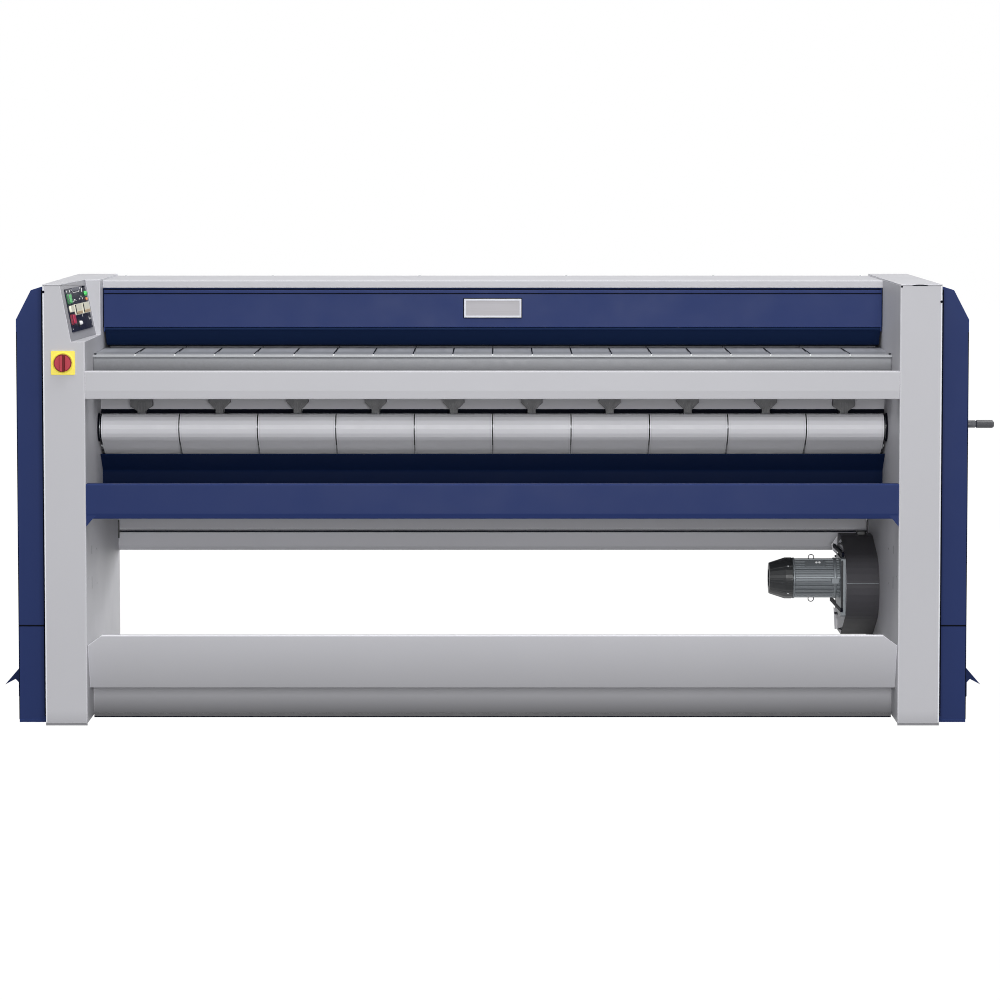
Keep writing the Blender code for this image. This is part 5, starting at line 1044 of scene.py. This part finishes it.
def console_basis():
    """Middle of the console's panel, its directions along, down and out, and its size."""
    low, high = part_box("control_panel")
    out = -joint_value("start_key_press", "axis").normalized()
    along = joint_value("speed_key_rock", "axis").normalized()
    down = along.cross(out).normalized()
    if down.z > 0:
        down = -down
    length = (high.y - low.y) / abs(along.y)
    height = (high.z - low.z) / abs(down.z)
    return (low + high) / 2, along, down, out, length, height


def console_place(a, b, c=0.0):
    """A point over the panel, from shares of its length and height and a height in metres."""
    middle, along, down, out, length, height = console_basis()
    return middle + along * (a - 0.5) * length + down * (b - 0.5) * height + out * (PANEL_HALF + PROUD + c)


def console_pill(name, shape, slot, look):
    """A small rounded plate on the panel: middle and size in shares of the panel, and thickness."""
    (a, b), (wide, tall), thickness = shape
    length, height = console_basis()[4:]
    outline = pill((0, 0), (wide * length, tall * height), CONSOLE_CORNER)
    shares = [(a + x / length, b + y / height) for x, y in outline]
    piece(name, [prism(shares, console_place, 0, thickness)], slot, look, bevel=min(0.0006, thickness / 3))


def console_details():
    """Everything on the console's panel: display, small key, lamps, screws, print, dial and pads."""
    console_pill("panel_display", DISPLAY, "panel_plastic", "display_glass")
    console_pill("panel_small_key", SMALL_KEY, "cream_plastic", "cream_plastic")
    out = console_basis()[3]
    for name, spot, radius, slot, look in LAMPS:
        piece(name, [lathe(scaled(LAMP_DOME, radius, radius), console_place(*spot), out)], slot, look)
    for number, spot in enumerate(CONSOLE_SCREWS, 1):
        screws(f"panel_screw_{number}", [console_place(*spot)], out, CONSOLE_SCREW)
    panel_print()
    dial()
    key_pads()
    console_surround()


def panel_print():
    """White lines and dots printed on the panel, with no lettering."""
    lines = [*zip(DISPLAY_FRAME, DISPLAY_FRAME[1:]), *PRINTED_LINES]
    marks = [tube([console_place(*end) for end in line], PRINT_RADIUS, 6) for line in lines]
    marks += [lathe(PRINTED_DOT, console_place(*spot), console_basis()[3], 12) for spot in PRINTED_DOTS]
    piece("panel_print", marks, *WHITE_PRINT_AND_GLINT)


def dial():
    """A white pointer knob on a black bezel."""
    out, centre = console_basis()[3], console_place(*DIAL)
    piece("panel_dial", [lathe(DIAL_BEZEL, centre, out, 28)], "black_plastic")
    piece("panel_dial_knob", [lathe(DIAL_KNOB, centre, out)], *WHITE_PRINT_AND_GLINT)


def key_pads():
    """Pads on the keys' faces: a darker lip and a black flank on the wide ones as painted shade, and a bright pad
    on the others as a painted highlight, glowing on the start key.
    """
    _, along, down, out, _, _ = console_basis()
    for key, pads in KEY_PADS.items():
        low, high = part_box(key)
        middle = (low + high) / 2
        corners = [corner - middle for corner in corners_of(key)]
        reach = max(corner.dot(out) for corner in corners)
        width = max(abs(corner.dot(along)) for corner in corners)
        rise = max(abs(corner.dot(down)) for corner in corners)

        def place(a, b, c):
            return middle + along * a + down * b + out * (reach + c)

        for number, ((across, under), (wide, tall), slot, look) in enumerate(pads, 1):
            size = (wide * width, tall * rise)
            outline = pill((across * width, under * rise), size, min(size) * KEY_PAD_CORNER)
            piece(f"{key}_pad_{number}", [prism(outline, place, 0, KEY_PAD_THICKNESS)],
                  slot, look, body=key, bevel=0.0003)


def console_surround():
    """Painted shade: a darker sheet on the console's sloping face, round its panel."""
    middle, _, _, out, _, _ = console_basis()

    def keep(face):
        off = (face.calc_center_median() - middle).dot(out) + PANEL_HALF
        return face.normal.dot(out) >= 0.999 and abs(off) <= 0.002

    laid_sheet("console_surround", "left_side_frame", keep, out * PROUD / 3, out * PROUD, "console_paint")


def switch_details():
    """A raised collar round the main switch's knob."""
    centre = joint_place("main_switch_turn")
    plate = Vector((centre.x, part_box("switch_plate")[0].y, centre.z))
    piece("switch_collar", [lathe(SWITCH_COLLAR, plate, (0, -1, 0), 40)], "yellow_plastic")


# Fan and motor


def fan_side_plate():
    """The scroll's light side plate: the CAD scroll's own left wall, laid just over it."""
    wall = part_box("fan_scroll")[0].x

    def keep(face):
        return face.normal.x <= -0.99 and abs(face.calc_center_median().x - wall) <= PROUD

    laid_sheet("fan_side_plate", "fan_scroll", keep, (-PROUD / 5, 0, 0), (-PROUD / 2, 0, 0), "plate_paint",
               (SIDE_PLATE_CORNER, SIDE_PLATE_SLOPE))


def fan_rails():
    """Black rails and light gussets that carry the motor's plate, bolts, and a black strip of painted shade in the
    plate's recess.
    """
    flat = Vector((1, 0, 0))
    rails = [bar(Vector(start), Vector(end), *FAN_RAIL_SECTION, flat) for start, end in FAN_RAILS]
    piece("fan_rails", rails, *BLACK_SEAL_AND_SHADE, bevel=0.001)
    deep = (FAN_GUSSET_PLACE, FAN_GUSSET_PLACE + FAN_GUSSET_SHEET)
    piece("fan_gussets", [prism(outline, facing_front, *deep) for outline in FAN_GUSSETS],
          "light_paint", "plate_paint", bevel=0.0003)
    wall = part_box("fan_scroll")[0].x - PROUD
    bolts = [lathe(FAN_BOLT, Vector((wall, *spot)), (-1, 0, 0), 12) for spot in FAN_BOLTS]
    piece("fan_bolts", bolts, "black_plastic", "black_steel")
    low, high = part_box("fan_motor")
    start = high.x - FAN_RECESS_INSET
    recess = block((start, start + FAN_RECESS_WIDTH), from_edge(low.y, LAYER),
                   (low.z + FAN_RECESS_MARGINS[0], high.z - FAN_RECESS_MARGINS[1]))
    piece("fan_plate_recess", [recess], "black_plastic", "black_steel")


def fan_details():
    """A seam in the scroll's front and a clamp on its top."""
    low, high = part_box("fan_scroll")
    seam = block(inset(low.x, high.x, TRIM_MARGIN), from_edge(low.y, FAN_SEAM_DEPTHS), FAN_SEAM)
    piece("fan_seam", [seam], "motor_alloy")
    outline = pill((high.x - FAN_CLAMP_INSET, FAN_CLAMP_PLACE), FAN_CLAMP_SIZE, 0.004)
    clamp = prism(outline, facing_up, high.z + PROUD, high.z + FAN_CLAMP_HEIGHT)
    piece("fan_clamp", [clamp], "black_plastic", bevel=0.002)


def out_at(turn):
    """The direction out from the motor's axis, turned up from straight ahead."""
    return Vector((0, -math.cos(turn), math.sin(turn)))


def motor_details():
    """Lifting rings, end frames and a lug on the motor."""
    axis = joint_place("fan_spin")
    rings = []
    for side in (-1, 1):
        middle = Vector((MOTOR_RING_X, axis.y, axis.z + side * (MOTOR_RADIUS + MOTOR_RING_STAND)))
        points = circle(middle, Vector((1, 0, 0)), Vector((0, 0, 1)), MOTOR_RING_RADIUS, 24)
        rings.append(tube(points, MOTOR_RING_WIRE, 8, closed=True))
    piece("motor_rings", rings, "motor_alloy", "black_steel")
    frames = []
    ends = (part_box("motor_cowl")[1].x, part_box("fan_motor")[1].x)
    for end, back, width in zip(ends, MOTOR_FRAME_INSETS, MOTOR_FRAME_WIDTHS):
        profile = [(share * width, MOTOR_RADIUS + rise) for share, rise in MOTOR_FRAME]
        frames.append(lathe(profile, at_x(end - back, axis), (1, 0, 0), 48))
    piece("motor_end_frames", frames, "motor_alloy", bevel=0.0003)
    lug = pill((MOTOR_LUG_X, axis.z - MOTOR_LUG_DROP), MOTOR_LUG_SIZE, 0.004)
    deep = from_edge(axis.y - MOTOR_RADIUS, MOTOR_LUG_DEPTHS)
    piece("motor_lug", [prism(lug, facing_front, *deep)], "motor_alloy", bevel=0.001)


def motor_boss():
    """A boss on the motor's upper front, with two caps."""
    out = out_at(MOTOR_BOSS_TURN)
    up = Vector((0, math.sin(MOTOR_BOSS_TURN), math.cos(MOTOR_BOSS_TURN)))
    base = at_x(MOTOR_BOSS_X, joint_place("fan_spin")) + out * MOTOR_RADIUS

    def place(a, b, c):
        return base + Vector((a, 0, 0)) + up * b + out * c

    boss = prism(pill((0, 0), MOTOR_BOSS_SIZE, 0.003), place, *MOTOR_BOSS_HEIGHTS)
    piece("motor_boss", [boss], "motor_alloy", bevel=0.0008)
    screws("motor_boss_caps", [place(*cap) for cap in MOTOR_BOSS_CAPS], out, MOTOR_BOSS_CAP, WHITE_PRINT_AND_GLINT)


def cowl_details():
    """Two screws in the cowl, and moulded ridges along it that follow its taper."""
    axis = joint_place("fan_spin")
    start, end = (corner.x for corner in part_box("motor_cowl"))
    for number, turn in enumerate(COWL_SCREW_TURNS, 1):
        spot = at_x(end - COWL_SCREW_INSET, axis) + out_at(turn) * (COWL_RADIUS - COWL_SCREW_SINK)
        screws(f"cowl_screw_{number}", [spot], out_at(turn), COWL_SCREW)
    line = ((start + COWL_RIDGE_ENDS[0], COWL_END_RADIUS), (end - COWL_STRAIGHT, COWL_RADIUS),
            (end - COWL_RIDGE_ENDS[1], COWL_RADIUS))
    ridges = [tube([at_x(x, axis) + out_at(turn) * (radius - COWL_RIDGE_SINK) for x, radius in line],
                   COWL_RIDGE_RADIUS, 8) for turn in COWL_RIDGE_TURNS]
    piece("cowl_ridges", ridges, "black_plastic")


# Screws, locks and small fittings


def cover_locks(side, word):
    """Quarter-turn locks on a side cover and its service panel."""
    low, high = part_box(f"{word}_side_cover")
    wall = high.x if side > 0 else low.x
    heights = (low.z + LOCK_INSET, high.z - LOCK_TOP_DROP,
               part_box(f"{word}_service_panel")[1].z - LOCK_PANEL_DROP)
    places = [(y, z) for y in inset(low.y, high.y, LOCK_INSET) for z in heights]
    head = scaled(LOCK_HEAD, LOCK_HEIGHT, LOCK_RADIUS)
    heads = [lathe(head, Vector((wall, *place)), (side, 0, 0)) for place in places]
    piece(f"{word}_cover_locks", heads, "black_plastic")
    deep = from_edge(wall, [side * rise for rise in LOCK_SLOT_HEIGHTS])
    wide, tall = LOCK_SLOT
    slots = [block(deep, centred(y, wide), centred(z, tall)) for y, z in places]
    piece(f"{word}_cover_lock_slots", slots, "roller_steel", "zinc")


def cover_seals(side, word):
    """A seal on a side cover's side, between it and its service panel, and dark strips of painted shade in the
    gaps on their fronts: between them and down both edges.
    """
    low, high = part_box(f"{word}_side_cover")
    panel_low, panel_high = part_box(f"{word}_service_panel")
    inner, outer = (low.x, high.x) if side > 0 else (high.x, low.x)
    middle = (low.z + panel_high.z) / 2
    deep = from_edge(outer, [side * depth for depth in COVER_SEAL_DEPTHS])
    seal = block(deep, inset(low.y, high.y, COVER_SEAL_INSET), centred(middle, COVER_SEAL))
    piece(f"{word}_cover_seal", [seal], "drive_rubber")
    start, end = inner + side * SIDE_SEAM_INSET, outer - side * PROUD
    spans = ((inset(low.x, high.x, TRIM_MARGIN / 2), centred(middle, COVER_GAP_SHADE_HEIGHT)),
             ((start, start + side * SIDE_SEAM), inset(panel_low.z, high.z, SIDE_SEAM_MARGIN)),
             ((end, end - side * OUTER_SEAM), inset(panel_low.z, CHAMFER_FOOT, OUTER_SEAM_MARGIN)))
    layer = from_edge(low.y, SEAL_LAYER)
    piece(f"{word}_cover_gap_shades", [block(ends, layer, heights) for ends, heights in spans], *SEAL_AND_SHADE)


def cover_fittings():
    """Locks, seals and strips of painted shade of both side covers, and the cam locks in the columns' fronts."""
    for side, word in SIDES:
        cover_locks(side, word)
        cover_seals(side, word)
        cam = (side * CAM_LOCK_X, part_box(f"{word}_side_frame")[0].y - PROUD * 3, CAM_LOCK_HEIGHTS[side])
        screws(f"{word}_cam_lock", [cam], (0, -1, 0), CAM_LOCK, BLACK_SEAL_AND_SHADE)


def wall_fittings():
    """Screws in the side frames' inner walls, where the cross members are fixed, and black pieces of painted shade
    in their slots.
    """
    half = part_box("front_rail")[1].x + PROUD
    for side, word in SIDES:
        places = [(side * half, y, z) for y, z in WALL_SCREWS]
        screws(f"{word}_wall_screws", places, (-side, 0, 0), WALL_SCREW)
        slots = [prism(pill((y, z), (WALL_SLOT_WIDTH, height), WALL_SLOT_CORNER), facing_side,
                       side * half, side * (half - PROUD)) for y, z, height in WALL_SLOTS]
        piece(f"{word}_wall_slots", slots, "black_plastic")


def panel_screws():
    """Screws along the rear panel's upper and lower edges and the top cover's rear edge."""
    low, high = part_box("rear_panel")
    columns = [(high.x - PANEL_SCREW_INSET) * share for share in PANEL_SCREW_SHARES]
    lower, upper = PANEL_SCREW_MARGINS
    places = [(x, high.y, z) for x in columns for z in (low.z + lower, high.z - upper)]
    screws("rear_panel_screws", places, (0, 1, 0))
    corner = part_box("top_cover")[1]
    screws("top_cover_screws", [(x, corner.y - PANEL_SCREW_INSET, corner.z) for x in columns], (0, 0, 1))


def rear_louvres():
    """Two groups of pressed louvres in the rear panel, which let the heat out, with black strips of painted shade
    in their slots.
    """
    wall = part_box("rear_panel")[1].y
    deep = from_edge(wall, LOUVRE_SLOT_DEPTHS)
    louvres, slots = [], []
    for group in (-1, 1):
        ends = centred(group * LOUVRE_MIDDLE, LOUVRE_WIDTH)
        for row in range(LOUVRE_ROWS):
            bottom = LOUVRE_BOTTOM + row * LOUVRE_PITCH
            section = [(wall + a, bottom + b) for a, b in LOUVRE_SECTION]
            louvres.append(prism(section, facing_side, *ends))
            slots.append(block(inset(*ends, LOUVRE_SLOT_INSET), deep, from_edge(bottom, LOUVRE_SLOT_HEIGHTS)))
    piece("rear_louvres", louvres, "light_paint", bevel=0.0008)
    piece("rear_louvre_slots", slots, "black_plastic")


def rear_stops():
    """Dark edge strips on both inner walls, beside the lower end of the rear panel."""
    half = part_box("rear_beam")[1].x
    outline = pill(REAR_STOP_MIDDLE, REAR_STOP_SIZE, 0.003)
    stops = [prism(outline, facing_side, side * (half + PROUD), side * (half - REAR_STOP_THICKNESS))
             for side in (-1, 1)]
    piece("rear_stops", stops, "black_plastic", bevel=0.0006)


def column_trims():
    """Bright strips down the columns' outer corners as painted highlights, and plinths under columns and panels,
    the columns' ones a darker grey as painted shade.
    """
    for side, word in SIDES:
        low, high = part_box(f"{word}_side_frame")
        outer = (high.x if side > 0 else low.x) - side * PROUD
        trim = block((outer, outer - side * EDGE_HIGHLIGHT_WIDTH), from_edge(low.y, SEAL_LAYER),
                     inset(low.z, high.z, TRIM_END_MARGIN))
        piece(f"{word}_edge_highlight", [trim], "light_paint", "trim_paint")
        plinth = block(inset(low.x, high.x, TRIM_MARGIN / 2), from_edge(low.y, LOW_TRIM_DEPTHS),
                       (PLINTH_GAP, low.z - PROUD))
        piece(f"{word}_plinth", [plinth], "light_paint", "plinth_paint")
        low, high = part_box(f"{word}_side_cover")
        plinth = block(inset(low.x, high.x, TRIM_MARGIN), from_edge(low.y, LOW_TRIM_DEPTHS),
                       (PLINTH_GAP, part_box(f"{word}_service_panel")[0].z - PROUD))
        piece(f"{word}_panel_plinth", [plinth], "blue_paint")


def crank_ferrule():
    """A dark collar between the crank's arm and its grip."""
    low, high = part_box("crank_grip")
    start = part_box("crank_arm")[0].x + FERRULE_INSET
    length = low.x - start - FERRULE_GAP
    radius = (high.z - low.z) / 2 * FERRULE_SHARE
    profile = [(0, 0), (0, radius * 0.9), (FERRULE_ROUND, radius), (length - FERRULE_ROUND, radius),
               (length, radius * 0.9), (length, 0)]
    collar = lathe(profile, at_x(start, (low + high) / 2), (1, 0, 0), 28)
    piece("crank_ferrule", [collar], "bearing_iron", "crank_steel", body="drive_shaft")


def low_seals():
    """Painted shade: a dark strip in the gap over the rear beam, and a darker strip with a black foot at the
    bottom of the kick panel.
    """
    for name, node, depths, heights, pair in (
            ("rear_gap_shade", "rear_beam", REAR_SHADE_DEPTHS, REAR_GAP, SEAL_AND_SHADE),
            ("kick_shade_strip", "kick_panel", LOW_TRIM_DEPTHS, KICK_SHADE_STRIP, ("light_paint", "kick_shade")),
            ("kick_foot_shadow", "kick_panel", LOW_TRIM_DEPTHS, KICK_FOOT_SHADOW, SEAL_AND_SHADE)):
        low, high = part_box(node)
        across = centred(0, high.x - low.x - 2 * TRIM_MARGIN)
        piece(name, [block(across, from_edge(low.y, depths), heights)], *pair)


def foot_rings():
    """A ribbed rubber ring round each levelling foot."""
    for _, word in SIDES:
        for row in ("front", "rear"):
            low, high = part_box(f"{word}_{row}_foot")
            middle, radius = (low + high) / 2, (high.x - low.x) / 2
            inner = radius * FOOT_RING_INNER
            profile = [(FOOT_RING_OUTER[0][0], inner), *((up, radius + over) for up, over in FOOT_RING_OUTER),
                       (FOOT_RING_TOP, inner)]
            ring = lathe(profile, Vector((middle.x, middle.y, 0)), (0, 0, 1), 32)
            piece(f"{word}_{row}_foot_ring", [ring], "foot_rubber")


# Light, camera, floor


def area_light(name, place, target, size, power):
    lamp = bpy.data.lights.new(name, "AREA")
    lamp.shape = "SQUARE"
    lamp.size = size
    lamp.energy = power
    thing = bpy.data.objects.new(name, lamp)
    bpy.context.scene.collection.objects.link(thing)
    thing.visible_camera = False
    thing.location = place
    thing.rotation_euler = (target - place).to_track_quat("-Z", "Y").to_euler()


def surroundings():
    """A white backdrop to the eye, and an even grey light on the object."""
    world = bpy.data.worlds.new("studio")
    bpy.context.scene.world = world
    nodes = Nodes(world)
    lit = nodes.tree.nodes["Background"]
    nodes.feed(lit, {"Color": WHITE, "Strength": AMBIENT})
    seen = nodes.add("ShaderNodeBackground", {"Color": WHITE, "Strength": 1.0})
    nodes.output("World Output", nodes.seen_directly(), lit, seen)


def floor():
    """A pale floor that keeps part of the object's shadow."""
    half = FLOOR_SIDE / 2
    mesh = bpy.data.meshes.new("floor")
    corners = [(-half, -half, 0), (half, -half, 0), (half, half, 0), (-half, half, 0)]
    mesh.from_pydata(corners, [], [(0, 1, 2, 3)])
    look = bpy.data.materials.new("floor")
    nodes = Nodes(look)
    shader = nodes.tree.nodes["Principled BSDF"]
    nodes.feed(shader, {"Base Color": linear(FLOOR_GREY, FLOOR_GREY, FLOOR_GREY), "Roughness": 0.9,
                        "Specular IOR Level": 0.0})
    glow = nodes.add("ShaderNodeEmission", {"Color": WHITE, "Strength": FLOOR_GLOW})
    share = nodes.math("MULTIPLY", nodes.seen_directly(), 1 - FLOOR_SHADOW_SHARE)
    nodes.output("Material Output", share, shader, glow)
    mesh.materials.append(look)
    thing = bpy.data.objects.new("floor", mesh)
    bpy.context.scene.collection.objects.link(thing)


def camera():
    data = bpy.data.cameras.new("camera")
    data.lens = CAMERA_LENS
    data.sensor_width = PICTURE_WIDTH
    data.shift_y = CAMERA_SHIFT
    data.clip_end = 200
    thing = bpy.data.objects.new("camera", data)
    bpy.context.scene.collection.objects.link(thing)
    thing.location = CAMERA_PLACE
    thing.rotation_euler = (math.pi / 2 - CAMERA_PITCH, 0, 0)
    bpy.context.scene.camera = thing


def dress_frame(frame):
    """Give every CAD node the look of its slot in the record, or one of its own."""
    for subpart in frame["record"]["subparts"]:
        node = frame["nodes"][subpart["node"]]
        for slot in node.material_slots:
            slot.material = LOOKS[OWN_LOOKS.get(subpart["node"], subpart["material_slot"])]


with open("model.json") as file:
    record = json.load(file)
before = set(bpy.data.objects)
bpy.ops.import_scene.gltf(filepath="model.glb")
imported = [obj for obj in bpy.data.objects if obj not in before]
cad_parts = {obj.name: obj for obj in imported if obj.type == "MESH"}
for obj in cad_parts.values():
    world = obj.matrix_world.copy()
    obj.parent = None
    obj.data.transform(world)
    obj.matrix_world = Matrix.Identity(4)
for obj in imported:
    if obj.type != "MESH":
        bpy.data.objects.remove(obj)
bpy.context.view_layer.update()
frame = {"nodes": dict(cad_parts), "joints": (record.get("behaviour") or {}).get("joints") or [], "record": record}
bpy.context.scene.view_settings.view_transform = "Standard"
bpy.context.scene.cycles.filter_width = PIXEL_FILTER
LOOKS.update(make_looks())
dress_frame(frame)
surroundings()
floor()
for light in LIGHTS:
    area_light(*light)
camera()
for make in (name_plate, hood_trim, cap_details, table_details, guard_gap_shade, stripper_under_shade, stripper_fingers,
             separator_strips, roller_flanges, console_details, switch_details, fan_side_plate, fan_rails,
             fan_details, motor_details, motor_boss, cowl_details, cover_fittings, wall_fittings,
             panel_screws, rear_louvres, rear_stops, column_trims, crank_ferrule, low_seals, foot_rings):
    make()
